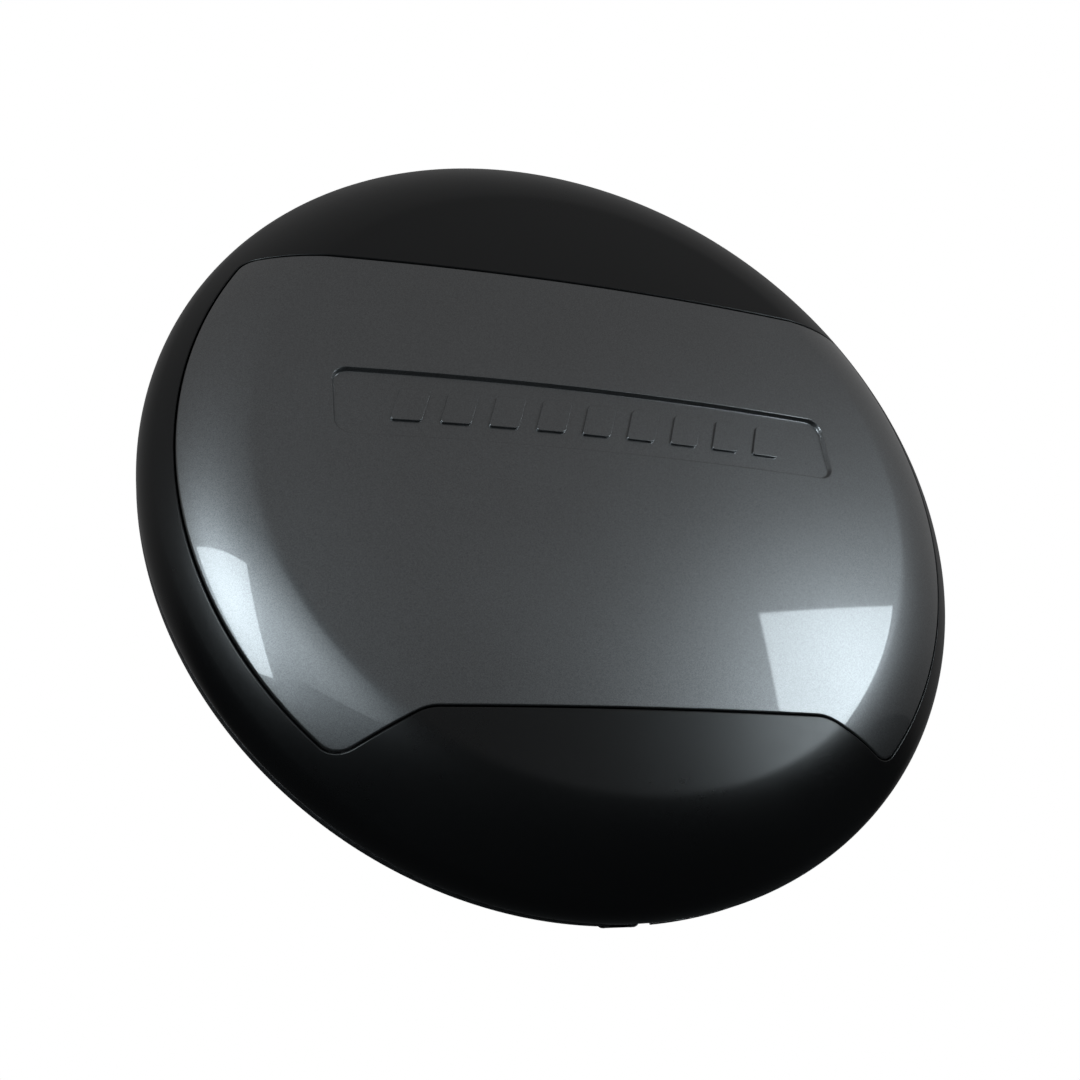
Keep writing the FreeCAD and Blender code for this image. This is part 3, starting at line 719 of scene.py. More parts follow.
@dataclass(frozen=True)
class DomeForm:
    """Section of the dome: face, shoulder and edge arcs, tangent but for a crease."""

    rim_radius: float = 425.0 * MM
    depth: float = 107.3 * MM
    crease_radius: float = 333.4 * MM
    crease_height: float = 89.5 * MM
    crease_slope: float = math.radians(11.5)
    shoulder_radius: float = 156.0 * MM
    shoulder_end: float = math.radians(45)
    crease_blend: float = 7.0 * MM

    @property
    def face_radius(self) -> float:
        """Radius of the crowned face."""
        sag = self.depth - self.crease_height
        return (self.crease_radius**2 + sag**2) / (2 * sag)

    @property
    def shoulder_centre(self) -> tuple[float, float]:
        """Centre of the shoulder arc."""
        return (
            self.crease_radius - self.shoulder_radius * math.sin(self.crease_slope),
            self.crease_height - self.shoulder_radius * math.cos(self.crease_slope))

    @property
    def turn_radius(self) -> float:
        """Distance from the axis where the edge arc starts."""
        return self.shoulder_centre[0] + self.shoulder_radius * math.sin(self.shoulder_end)

    @property
    def edge_radius(self) -> float:
        """Radius of the edge arc."""
        return (self.rim_radius - self.turn_radius) / (1 - math.sin(self.shoulder_end))

    @property
    def edge_centre(self) -> tuple[float, float]:
        """Centre of the edge arc."""
        turn = self.shoulder_centre[1] + self.shoulder_radius * math.cos(self.shoulder_end)
        drop = self.edge_radius * math.cos(self.shoulder_end)
        return self.rim_radius - self.edge_radius, turn - drop

    def height(self, r: float, inset: float = 0.0) -> float:
        """Distance forward of the surface set in by a depth.

        Args:
            r: Distance from the axis.
            inset: Depth under the outer surface.

        Returns:
            Distance forward.
        """
        on_face = self.depth - self.face_radius
        face = on_face + math.sqrt((self.face_radius - inset) ** 2 - r**2)
        if r < self.shoulder_centre[0]:
            return face
        centre, radius = self.shoulder_centre, self.shoulder_radius - inset
        if r > centre[0] + radius * math.sin(self.shoulder_end):
            centre, radius = self.edge_centre, self.edge_radius - inset
        across = min(r - centre[0], radius)
        return min(face, centre[1] + math.sqrt(radius**2 - across**2))

    def place(self, x: float, z: float, inset: float) -> float:
        """Y of the surface set in by a depth, at a place seen from the front."""
        return -self.height(math.hypot(x, z), inset)

    def slope(self, r: float) -> float:
        """Slope of the outer surface in radians, eased over the crease.

        Args:
            r: Distance from the axis.

        Returns:
            Angle of the surface from level.
        """
        face = math.asin(r / self.face_radius)
        if r <= self.crease_radius - self.crease_blend:
            return face
        centre, radius = self.shoulder_centre, self.shoulder_radius
        if r > self.turn_radius:
            centre, radius = self.edge_centre, self.edge_radius
        shoulder = math.asin(max(-1.0, min((r - centre[0]) / radius, 1.0)))
        t = (r - self.crease_radius + self.crease_blend) / (2 * self.crease_blend)
        t = min(t, 1.0)
        share = t * t * (3 - 2 * t)
        return face + (shoulder - face) * share

    def radii(self, last: float, extra: Iterable[float] = ()) -> list[float]:
        """Distances from the axis where the section has points.

        Args:
            last: Largest distance.
            extra: More distances to include.

        Returns:
            Distances in rising order.
        """
        crease = [self.crease_radius + step * MM for step in (-7, -4.5, -2, 0, 2, 4.5, 7)]
        face = [self.crease_radius * k / 22 for k in range(1, 22)]
        shoulder = [self.crease_radius + (12 + 5 * k) * MM for k in range(14)]
        wanted = (*crease, *face, *shoulder, *extra)
        found = sorted({round(v, 7) for v in wanted if v < last - 0.3 * MM})
        kept = set(round(v, 7) for v in extra)
        merged = [found[0]]
        for value in found[1:]:
            if value - merged[-1] > 1.5 * MM or value in kept:
                merged.append(value)
        return merged + [last]


DOME = DomeForm()


@dataclass(frozen=True)
class Corner:
    """A rounded corner of an outline: its centre, radius and the two directions it joins."""

    centre: Vector
    radius: float
    first: Vector
    last: Vector

    def holds(self, point: Vector) -> bool:
        """True where the corner's arc is the nearest part of the outline."""
        off = point - self.centre
        between = self.first.cross(off) * self.last.cross(off) <= 0
        return between and off.dot(self.first + self.last) > 0

    def points(self, radius: float, count: int, side: int) -> list[Vector]:
        """Points along the arc at another radius.

        Args:
            radius: Radius to follow.
            count: Number of chords.
            side: 1 for the right side, -1 for its mirror image.

        Returns:
            The points in order.
        """
        start = math.atan2(self.first.y, self.first.x)
        turn = math.atan2(self.last.y, self.last.x) - start
        turn = (turn + math.pi) % (2 * math.pi) - math.pi
        made = []
        for k in range(count + 1):
            angle = start + turn * k / count
            made.append(self.centre + radius * Vector((math.cos(angle), math.sin(angle))))
        return [Vector((p.x * side, p.y)) for p in made]


@dataclass(frozen=True)
class PanelOutline:
    """Outline of the centre panel's pocket, seen from the front as x and z."""

    radius: float = 396.6 * MM
    top: float = 212.5 * MM
    flat: float = -258.6 * MM
    step_x: float = 190.6 * MM
    step_angle: float = math.atan(0.5)
    top_corner: float = 21.0 * MM
    foot_corner: float = 23.0 * MM
    step_corner: float = 42.0 * MM

    @property
    def step_normal(self) -> Vector:
        """Direction from the sloping side into the panel."""
        return Vector((math.sin(self.step_angle), math.cos(self.step_angle)))

    @property
    def corners(self) -> tuple[Corner, Corner, Corner]:
        """The right side's corners: top, foot and step."""
        top_z = self.top - self.top_corner
        top_x = math.sqrt((self.radius - self.top_corner) ** 2 - top_z**2)
        top = Vector((top_x, top_z))
        start = Vector((self.step_x, self.flat)) + self.step_normal * self.foot_corner
        along = Vector((math.cos(self.step_angle), -math.sin(self.step_angle)))
        reach = self.radius - self.foot_corner
        middle = start.dot(along)
        foot = start + along * (-middle + math.sqrt(middle**2 - start.length_squared + reach**2))
        shift = self.step_corner * math.tan(self.step_angle / 2)
        step = Vector((self.step_x - shift, self.flat - self.step_corner))
        return (
            Corner(top, self.top_corner, Vector((0, 1)), top.normalized()),
            Corner(foot, self.foot_corner, -self.step_normal, foot.normalized()),
            Corner(step, self.step_corner, Vector((0, 1)), self.step_normal))

    def distance(self, x: float, z: float) -> float:
        """Distance inside the outline, negative outside it.

        Args:
            x: Place across.
            z: Place up.

        Returns:
            Distance in metres.
        """
        point = Vector((abs(x), z))
        top, foot, step = SHAPES.panel_corners
        low = max(z - self.flat, (point - Vector((self.step_x, self.flat))).dot(self.step_normal))
        if step.holds(point):
            low = (point - step.centre).length - step.radius
        if top.holds(point):
            return top.radius - (point - top.centre).length
        if foot.holds(point):
            return foot.radius - (point - foot.centre).length
        return min(self.radius - point.length, self.top - z, low)

    def lines(self, offset: float) -> list[tuple[Vector, Vector]]:
        """Straight pieces that follow the outline at a distance inside it, without the circle.

        Args:
            offset: Distance inside the outline.

        Returns:
            Start and end of each piece.
        """
        top, foot, step = SHAPES.panel_corners
        found = []
        for side in (-1, 1):
            top_arc = top.points(top.radius - offset, 8, side)
            foot_arc = foot.points(foot.radius - offset, 8, side)
            step_arc = step.points(step.radius + offset, 5, side)
            for arc in (top_arc, foot_arc, step_arc):
                found += list(zip(arc, arc[1:]))
            found.append((step_arc[-1], foot_arc[0]))
            found.append((Vector((0, step_arc[0].y)), step_arc[0]))
            found.append((Vector((0, top_arc[0].y)), top_arc[0]))
        return found


@dataclass(frozen=True)
class SunkField:
    """Sunk field of the panel: a rounded rectangle."""

    half_width: float = 259.8 * MM
    low: float = 2.0 * MM
    high: float = 73.7 * MM
    depth: float = 4.2 * MM
    corner: float = 15.0 * MM
    wall_out: float = 1.5 * MM
    wall_in: float = 1.9 * MM

    @property
    def middle(self) -> float:
        """Height of its centre line."""
        return (self.low + self.high) / 2

    def distance(self, x: float, z: float) -> float:
        """Distance inside the field, negative outside it."""
        ax = abs(x) - self.half_width + self.corner
        az = abs(z - self.middle) - (self.high - self.low) / 2 + self.corner
        outside = math.hypot(max(ax, 0.0), max(az, 0.0))
        return self.corner - outside - min(max(ax, az), 0.0)

    def sink(self, x: float, z: float) -> float:
        """Depth of the field under the panel's face at a place."""
        t = (self.distance(x, z) + self.wall_out) / (self.wall_out + self.wall_in)
        t = max(0.0, min(t, 1.0))
        return self.depth * t * t * (3 - 2 * t)

    def lines(self, offset: float) -> list[tuple[Vector, Vector]]:
        """Straight pieces that follow the field's edge at a distance inside it.

        Args:
            offset: Distance inside the edge.

        Returns:
            Start and end of each piece.
        """
        found = []
        half = (self.high - self.low) / 2
        radius = self.corner - offset
        for side in (-1, 1):
            for up in (-1, 1):
                centre = Vector((
                    side * (self.half_width - self.corner),
                    self.middle + up * (half - self.corner)))
                arc = []
                for k in range(7):
                    angle = math.radians(90 * k / 6)
                    ray = Vector((side * math.cos(angle), up * math.sin(angle)))
                    arc.append(centre + radius * ray)
                found += list(zip(arc, arc[1:]))
                found.append((arc[0], Vector((arc[0].x, self.middle))))
                found.append((arc[-1], Vector((0, arc[-1].y))))
        return found


class Shapes:
    """Outlines that several pieces share."""

    def __init__(self) -> None:
        """Work out the panel's corners once."""
        self.outline = PanelOutline()
        self.field = SunkField()
        self.panel_corners = self.outline.corners


SHAPES = Shapes()


def score(bm: bmesh.types.BMesh, faces: set, lines: Iterable[tuple[Vector, Vector]]) -> None:
    """Cut edges into faces along lines seen from the front.

    Args:
        bm: Mesh to cut.
        faces: Faces that may be cut; kept up to date.
        lines: Start and end of each cut, as x and z.
    """
    for start, end in lines:
        run = end - start
        length = run.length
        if length < 1e-6:
            continue
        along = run / length
        chosen = []
        for face in faces:
            offsets = [(v.co.x - start.x, v.co.z - start.y) for v in face.verts]
            across = [along.x * dz - along.y * dx for dx, dz in offsets]
            if min(across) > 0 or max(across) < 0:
                continue
            forward = [along.x * dx + along.y * dz for dx, dz in offsets]
            if max(forward) > 0 and min(forward) < length:
                chosen.append(face)
        geom = set(chosen)
        for face in chosen:
            geom.update(face.edges)
            geom.update(face.verts)
        made = bmesh.ops.bisect_plane(
            bm, geom=list(geom), dist=2e-5, plane_co=(start.x, 0, start.y),
            plane_no=(-along.y, 0, along.x))
        faces.difference_update(chosen)
        faces.update(g for g in made["geom"] if isinstance(g, bmesh.types.BMFace))


def roll(distance: float, radius: float) -> float:
    """Drop of a rounded edge at a distance in from it."""
    if distance >= radius:
        return 0.0
    inward = radius - max(distance, 0.0)
    return radius - math.sqrt(radius**2 - inward**2)


def true_normal(x: float, z: float, drop: Depth) -> Vector:
    """Normal of the dome with a relief sunk in it.

    Args:
        x: Place across.
        z: Place up.
        drop: Depth of the relief at a place.

    Returns:
        The outward normal.
    """
    r = math.hypot(x, z)
    slope = DOME.slope(min(r, DOME.rim_radius))
    step = 0.05 * MM
    fall_x = (drop(x + step, z) - drop(x - step, z)) / (2 * step) / math.cos(slope)
    fall_z = (drop(x, z + step) - drop(x, z - step)) / (2 * step) / math.cos(slope)
    lean = math.tan(slope) / r if r > 1e-6 else 0.0
    return Vector((lean * x + fall_x, -1.0, lean * z + fall_z)).normalized()


# --------------------------------------------------------------------------------------
# Centre panel
# --------------------------------------------------------------------------------------


@dataclass
class CentrePanel:
    """Painted panel with a sunk field and a row of plain slanted bars."""

    gap: float = 1.3 * MM
    skin: float = 3.2 * MM
    edge_roll: float = 1.5 * MM
    roll_lines: tuple[float, ...] = (0.0, 0.2 * MM, 0.6 * MM, 1.5 * MM)
    wall_lines: tuple[float, ...] = (-1.5 * MM, -0.8 * MM, -0.1 * MM, 0.6 * MM, 1.2 * MM, 1.9 * MM)
    steps: int = 300
    bar_count: int = 9
    bar_pitch: float = 47.0 * MM
    bar_width: float = 30.0 * MM
    bar_height: float = 36.0 * MM
    bar_slant: float = 12.0 * MM
    bar_rise: float = 2.4 * MM
    bar_corner: float = 4.0 * MM
    bar_edge: float = 0.8 * MM

    def inside(self, x: float, z: float) -> float:
        """Distance in from the panel's own edge."""
        return SHAPES.outline.distance(x, z) - self.gap

    def drop(self, x: float, z: float) -> float:
        """Depth of the outer face under the dome."""
        return roll(self.inside(x, z), self.edge_roll) + SHAPES.field.sink(x, z)

    def skin_mesh(self) -> bmesh.types.BMesh:
        """Outer skin cut to the outline, with edges along every change of relief."""
        bm = bmesh.new()
        last = SHAPES.outline.radius - self.gap
        radii = DOME.radii(last, [last - line for line in self.roll_lines[1:]])
        points = [(0.0, DOME.height(0.0))] + [(r, DOME.height(r)) for r in radii]
        spin(bm, add_profile(bm, points), 0, 360, self.steps)
        bmesh.ops.remove_doubles(bm, verts=bm.verts[:], dist=1e-6)
        band = {f for f in bm.faces if abs(self.inside(*f.calc_center_median().xz)) < 20 * MM}
        for line in self.roll_lines:
            score(bm, band, SHAPES.outline.lines(self.gap + line))
        waste = [f for f in bm.faces if self.inside(*f.calc_center_median().xz) < 0]
        bmesh.ops.delete(bm, geom=waste, context="FACES")
        near = {
            f for f in bm.faces
            if abs(SHAPES.field.distance(*f.calc_center_median().xz)) < 16 * MM}
        for line in self.wall_lines:
            score(bm, near, SHAPES.field.lines(line))
        bmesh.ops.recalc_face_normals(bm, faces=bm.faces[:])
        if bm.faces[:][0].normal.y > 0:
            bmesh.ops.reverse_faces(bm, faces=bm.faces[:])
        return bm

    def add_bars(self, bm: bmesh.types.BMesh) -> None:
        """Add the row of raised bars to the panel's mesh.

        Args:
            bm: The panel's mesh.
        """
        field = SHAPES.field
        for number in range(self.bar_count):
            bar = bmesh.new()
            bmesh.ops.create_cube(bar, size=1.0)
            bmesh.ops.scale(bar, verts=bar.verts[:], vec=(self.bar_width, 8 * MM, self.bar_height))
            lean = Matrix.Identity(4)
            lean[0][2] = self.bar_slant / self.bar_height
            bmesh.ops.transform(bar, matrix=lean, verts=bar.verts[:])
            uprights = [e for e in bar.edges if abs(e.verts[0].co.y - e.verts[1].co.y) > MM]
            bmesh.ops.bevel(
                bar, geom=uprights, offset=self.bar_corner, offset_type="OFFSET", affect="EDGES",
                segments=5, profile=0.5, material=-1)
            front = [e for e in bar.edges if all(v.co.y < 0 for v in e.verts)]
            bmesh.ops.bevel(
                bar, geom=front, offset=self.bar_edge, offset_type="OFFSET", affect="EDGES",
                segments=3, profile=0.5, material=-1)
            across = (number - (self.bar_count - 1) / 2) * self.bar_pitch
            for vert in bar.verts:
                x, z = vert.co.x + across, vert.co.z + field.middle
                under_top = vert.co.y + 4 * MM
                depth = field.depth - self.bar_rise + min(under_top, self.bar_rise + 0.5 * MM)
                vert.co = (x, DOME.place(x, z, depth), z)
            join(bm, bar)

    def build(self, shop: Workshop) -> None:
        """Model and dress the panel.

        Args:
            shop: Finishes.
        """
        bm = self.skin_mesh()
        bmesh.ops.solidify(bm, geom=bm.faces[:], thickness=self.skin)
        places = {}
        for vert in bm.verts:
            x, z = vert.co.xz
            r = math.hypot(x, z)
            if -vert.co.y > DOME.height(r) - self.skin / 2:
                places[vert] = (x, z, self.drop(x, z))
        for vert in bm.verts:
            if vert in places:
                x, z, depth = places[vert]
            else:
                x, z = vert.co.xz
                depth = self.skin + SHAPES.field.sink(x, z)
            vert.co.y = DOME.place(x, z, depth)
        self.add_bars(bm)

        bar_top = SHAPES.field.depth - self.bar_rise

        def level(x: float, z: float) -> float:
            """Depth of the bars' tops."""
            return bar_top

        def normal_at(co: Vector) -> Vector | None:
            """True normal on the outer face and on the bars' tops."""
            r = math.hypot(co.x, co.z)
            if SHAPES.field.distance(co.x, co.z) > SHAPES.field.wall_in:
                if abs(-co.y - DOME.height(r, bar_top)) < 0.002 * MM:
                    return true_normal(co.x, co.z, level)
            depth = self.drop(co.x, co.z)
            if abs(-co.y - DOME.height(r, depth)) > 0.02 * MM:
                return None
            return true_normal(co.x, co.z, self.drop)

        piece = finish_mesh(bm, "painted_centre_panel", normal_at=normal_at)
        shop.dress(piece, Slot.PANEL, Body.SHELL, "centre_panel")


# --------------------------------------------------------------------------------------
# Outer shell
# --------------------------------------------------------------------------------------


@dataclass
class OuterShell:
    """Black moulding: dome, pocket for the panel, rolled rim, neck, bead and ribs."""

    wall: float = 3.0 * MM
    pocket: float = 7.5 * MM
    edge_roll: float = 1.6 * MM
    roll_lines: tuple[float, ...] = (0.2 * MM, 0.6 * MM, 1.6 * MM)
    pocket_wall: float = 0.3 * MM
    steps: int = 300
    roll_radius: float = 6.0 * MM
    neck: float = 417.5 * MM
    bead: float = 420.6 * MM
    bead_back: float = 3.6 * MM
    bead_front: float = 6.4 * MM
    rib_rings: tuple[float, ...] = (121.25 * MM, 231.25 * MM)
    rib_angles: tuple[int, ...] = (16, 61, 119, 164, 196, 241, 299, 344)
    rib_depth: float = 18.5 * MM
    rib_thick: float = 2.5 * MM
    hinge_clock: float = 270.0
    post_places: tuple[float, ...] = (18.0 * MM, 33.0 * MM)
    post_side: float = 11.0 * MM
    post_foot: float = 411.1 * MM
    post_radius: float = 5.0 * MM

    def outer_drop(self, x: float, z: float) -> float:
        """Depth of the outer face: the rolled edge, then the pocket."""
        inside = SHAPES.outline.distance(x, z)
        share = max(0.0, min((inside - 0.2 * self.pocket_wall) / (0.6 * self.pocket_wall), 1.0))
        edge = roll(-inside, self.edge_roll)
        return edge + (self.pocket - edge) * share

    def inner_drop(self, x: float, z: float) -> float:
        """Depth of the inner face."""
        inside = SHAPES.outline.distance(x, z) + self.wall
        share = max(0.0, min((inside + 0.12 * MM) / (0.24 * MM), 1.0))
        return self.wall + self.pocket * share

    def edge_point(self, radius: float, share: float) -> tuple[float, float]:
        """Point of the section on an arc about the edge's centre, a share of the way out."""
        slope = DOME.shoulder_end + (math.pi / 2 - DOME.shoulder_end) * share
        centre = DOME.edge_centre
        return centre[0] + radius * math.sin(slope), centre[1] + radius * math.cos(slope)

    def section(self) -> list[tuple[float, float]]:
        """Closed section from the axis round the rim and back to the axis."""
        edge = SHAPES.outline.radius
        extra = [edge + line for line in (0.0, *self.roll_lines)] + [edge - self.pocket_wall]
        extra += [edge + self.wall + step * MM for step in (-0.2, 0.2)]
        outer = [(r, DOME.height(r)) for r in DOME.radii(DOME.turn_radius, extra)]
        points = [(0.0, DOME.height(0.0))] + outer
        centre = DOME.edge_centre
        points += [self.edge_point(DOME.edge_radius, k / 12) for k in range(1, 13)]
        for k in range(1, 8):
            turn = math.pi / 2 * k / 7
            points.append((
                DOME.rim_radius - self.roll_radius * (1 - math.cos(turn)),
                centre[1] - self.roll_radius * math.sin(turn)))
        foot = centre[1] - self.roll_radius
        soft = 0.5 * MM
        neck_in = self.neck - self.wall
        points += [
            (self.neck, foot), (self.neck, self.bead_front),
            (self.bead - soft, self.bead_front), (self.bead, self.bead_front - soft),
            (self.bead, self.bead_back + soft), (self.bead - soft, self.bead_back),
            (neck_in, self.bead_back), (neck_in, centre[1] - self.wall),
            (DOME.rim_radius - self.wall, centre[1])]
        inside = DOME.edge_radius - self.wall
        points += [self.edge_point(inside, k / 9) for k in range(8, 0, -1)]
        inner_extra = [edge + self.wall + step * MM for step in (-0.2, 0.2)]
        inner = DOME.radii(points[-1][0] - 2 * MM, inner_extra)
        points += [(r, DOME.height(r, self.wall)) for r in reversed(inner)]
        return points + [(0.0, DOME.height(0.0, self.wall))]

    def is_outer(self, co: Vector) -> bool:
        """True on the dome's outer face, before the pocket is sunk."""
        r = math.hypot(co.x, co.z)
        middle = DOME.height(min(r, DOME.turn_radius)) - self.wall / 2
        return r <= DOME.turn_radius + MM and -co.y > middle

    def is_inner(self, co: Vector) -> bool:
        """True on the dome's inner face, before the pocket is sunk."""
        r = math.hypot(co.x, co.z)
        return r < 408 * MM and not self.is_outer(co)

    def add_ribs(self, bm: bmesh.types.BMesh) -> None:
        """Add the ring ribs and the spokes inside the dome.

        Args:
            bm: The shell's mesh.
        """
        ribs = bmesh.new()
        half = self.rib_thick / 2
        for radius in self.rib_rings:
            near, far = radius - half, radius + half
            corners = [(near, 0.0), (far, 0.0), (far, -MM), (near, -MM)]
            spin(ribs, add_profile(ribs, corners, closed=True), 0, 360, 180)
        first, last = self.rib_rings[0], DOME.crease_radius
        for clock in self.rib_angles:
            made = bmesh.ops.create_cube(ribs, size=1.0)
            verts = made["verts"]
            bmesh.ops.scale(ribs, verts=verts, vec=(last - first, MM, self.rib_thick))
            bmesh.ops.translate(ribs, verts=verts, vec=((first + last) / 2, 0.5 * MM, 0))
            along = [
                e for e in ribs.edges
                if e.verts[0] in verts and abs(e.verts[0].co.x - e.verts[1].co.x) > 0.1]
            old = set(ribs.verts) - set(verts)
            bmesh.ops.subdivide_edges(ribs, edges=along, cuts=60, use_grid_fill=True)
            bmesh.ops.rotate(
                ribs, verts=[v for v in ribs.verts if v not in old], cent=(0, 0, 0),
                matrix=Matrix.Rotation(math.radians(clock), 3, FORWARD))
        for vert in ribs.verts:
            x, y, z = vert.co
            depth = self.rib_depth if y > 0.5 * MM else self.inner_drop(x, z) - 1.5 * MM
            vert.co.y = -DOME.height(math.hypot(x, z), depth)
        bmesh.ops.recalc_face_normals(ribs, faces=ribs.faces[:])
        join(bm, ribs)

    def add_posts(self, bm: bmesh.types.BMesh) -> None:
        """Add the four posts that the hinge bracket is screwed to.

        Args:
            bm: The shell's mesh.
        """
        centre, radius = DOME.edge_centre, DOME.edge_radius - self.wall / 2
        for w in self.post_places:
            for t in (-self.post_side, self.post_side):
                post = bmesh.new()
                bmesh.ops.create_cone(
                    post, cap_ends=True, segments=32, radius1=self.post_radius,
                    radius2=self.post_radius, depth=10 * MM)
                for vert in post.verts:
                    forward = w - vert.co.y
                    far = centre[0] + math.sqrt(radius**2 - (forward - centre[1]) ** 2)
                    vert.co.z = far - self.post_foot if vert.co.z > 0 else 0.0
                join(bm, post, outward(self.post_foot, w, t, self.hinge_clock))

    def build(self, shop: Workshop) -> None:
        """Model and dress the shell.

        Args:
            shop: Finishes.
        """
        bm = bmesh.new()
        spin(bm, add_profile(bm, self.section()), 0, 360, self.steps)
        settle(bm)
        outline = SHAPES.outline

        def band(test: Callable[[Vector], bool]) -> set:
            """Faces near the outline that pass a test."""
            centres = {f: f.calc_center_median() for f in bm.faces}
            return {
                f for f, centre in centres.items()
                if test(centre) and abs(outline.distance(*centre.xz)) < 20 * MM}

        front = band(self.is_outer)
        rolled = [-line for line in reversed(self.roll_lines)]
        for line in (*rolled, 0.0, self.pocket_wall):
            score(bm, front, outline.lines(line))
        back = band(self.is_inner)
        for line in (-0.2 * MM, 0.2 * MM):
            score(bm, back, outline.lines(line - self.wall))
        outer = [v for v in bm.verts if self.is_outer(v.co)]
        inner = [v for v in bm.verts if self.is_inner(v.co)]
        for vert in outer:
            x, z = vert.co.xz
            vert.co.y = DOME.place(x, z, self.outer_drop(x, z))
        for vert in inner:
            x, z = vert.co.xz
            vert.co.y = DOME.place(x, z, self.inner_drop(x, z))
        self.add_ribs(bm)
        self.add_posts(bm)

        def normal_at(co: Vector) -> Vector | None:
            """True normal on the outer face outside the pocket."""
            r = math.hypot(co.x, co.z)
            if r > DOME.turn_radius:
                return None
            depth = self.outer_drop(co.x, co.z)
            if depth > self.edge_roll or abs(-co.y - DOME.height(r, depth)) > 0.02 * MM:
                return None
            return true_normal(co.x, co.z, self.outer_drop)

        piece = finish_mesh(bm, "moulded_shell", normal_at=normal_at)
        shop.dress(piece, Slot.SHELL, Body.SHELL, "outer_shell")


# --------------------------------------------------------------------------------------
# What holds the panel and bears on the tyre
# --------------------------------------------------------------------------------------


@dataclass
class PanelScrews:
    """Pan-head screws with a cross recess, square to the pocket's floor."""

    head_depth: float = 11.52 * MM
    head_height: float = 3.0 * MM
    head_radius: float = 4.6 * MM
    shank_radius: float = 2.5 * MM
    shank_length: float = 8.3 * MM
    recess: float = 1.8 * MM
    wing: float = 2.5 * MM
    waist: float = 0.75 * MM
    outer_ring: float = 265.0 * MM
    outer_angles: tuple[int, ...] = (48, 132, 188, 222, 318, 352)
    inner_ring: float = 180.0 * MM
    inner_angles: tuple[int, ...] = (75, 105, 255, 285)

    def screw(self) -> bmesh.types.BMesh:
        """One screw, its head's seat at the origin and its recess towards +Z."""
        profile = [(0.0, -self.shank_length), (self.shank_radius * 0.8, -self.shank_length)]
        turns = 7
        for k in range(turns):
            low = -self.shank_length + self.shank_length * (k + 0.3) / turns
            profile += [(self.shank_radius * 0.84, low), (self.shank_radius, low + 0.4 * MM)]
        profile += [
            (self.shank_radius, 0.0), (self.head_radius - 0.3 * MM, 0.0),
            (self.head_radius, 0.3 * MM)]
        for k in range(1, 8):
            angle = math.pi / 2 * k / 8
            profile.append((
                self.head_radius * math.cos(angle) ** 0.6,
                0.9 * MM + (self.head_height - 0.9 * MM) * math.sin(angle)))
        rim = 2.9 * MM
        profile = [p for p in profile if p[0] > rim or p[1] < 1.5 * MM]
        profile += [(rim, self.head_height), (0.0, self.head_height)]
        part = lathe(profile, 32)
        top = [f for f in part.faces if f.calc_center_median().z > self.head_height - 1e-6]
        bmesh.ops.dissolve_faces(part, faces=top)
        cap = max(part.faces, key=lambda f: f.calc_center_median().z + (f.normal.z > 0.99) * 0.1)
        bmesh.ops.inset_region(part, faces=[cap], thickness=0.25 * MM)
        for vert in cap.verts:
            angle = math.atan2(vert.co.y, vert.co.x)
            on_wing = abs(math.sin(2 * angle)) < 0.35
            reach = self.wing if on_wing else self.waist
            vert.co.x, vert.co.y = reach * math.cos(angle), reach * math.sin(angle)
        made = bmesh.ops.extrude_face_region(part, geom=[cap])
        floor = [g for g in made["geom"] if isinstance(g, bmesh.types.BMVert)]
        bmesh.ops.delete(part, geom=[cap], context="FACES_ONLY")
        bmesh.ops.translate(part, verts=floor, vec=(0, 0, -self.recess))
        return part

    def build(self, shop: Workshop) -> None:
        """Model and dress all the screws as one piece.

        Args:
            shop: Finishes.
        """
        bm = bmesh.new()
        centre = Matrix.Translation((0, DOME.face_radius - DOME.depth, 0))
        back = Matrix.Translation((0, -DOME.depth + self.head_depth, 0))
        facing = Matrix.Rotation(math.radians(-90), 4, "X")
        places = [(self.outer_ring, a) for a in self.outer_angles]
        places += [(self.inner_ring, a) for a in self.inner_angles]
        for r, clock in places:
            tilt = Matrix.Rotation(math.asin(r / DOME.face_radius), 4, "Z")
            place = clock_turn(clock) @ centre @ tilt @ centre.inverted() @ back @ facing
            join(bm, self.screw(), place)
        piece = finish_mesh(bm, "panel_fixing_screws")
        shop.dress(piece, Slot.ZINC, Body.SHELL, "panel_screws")


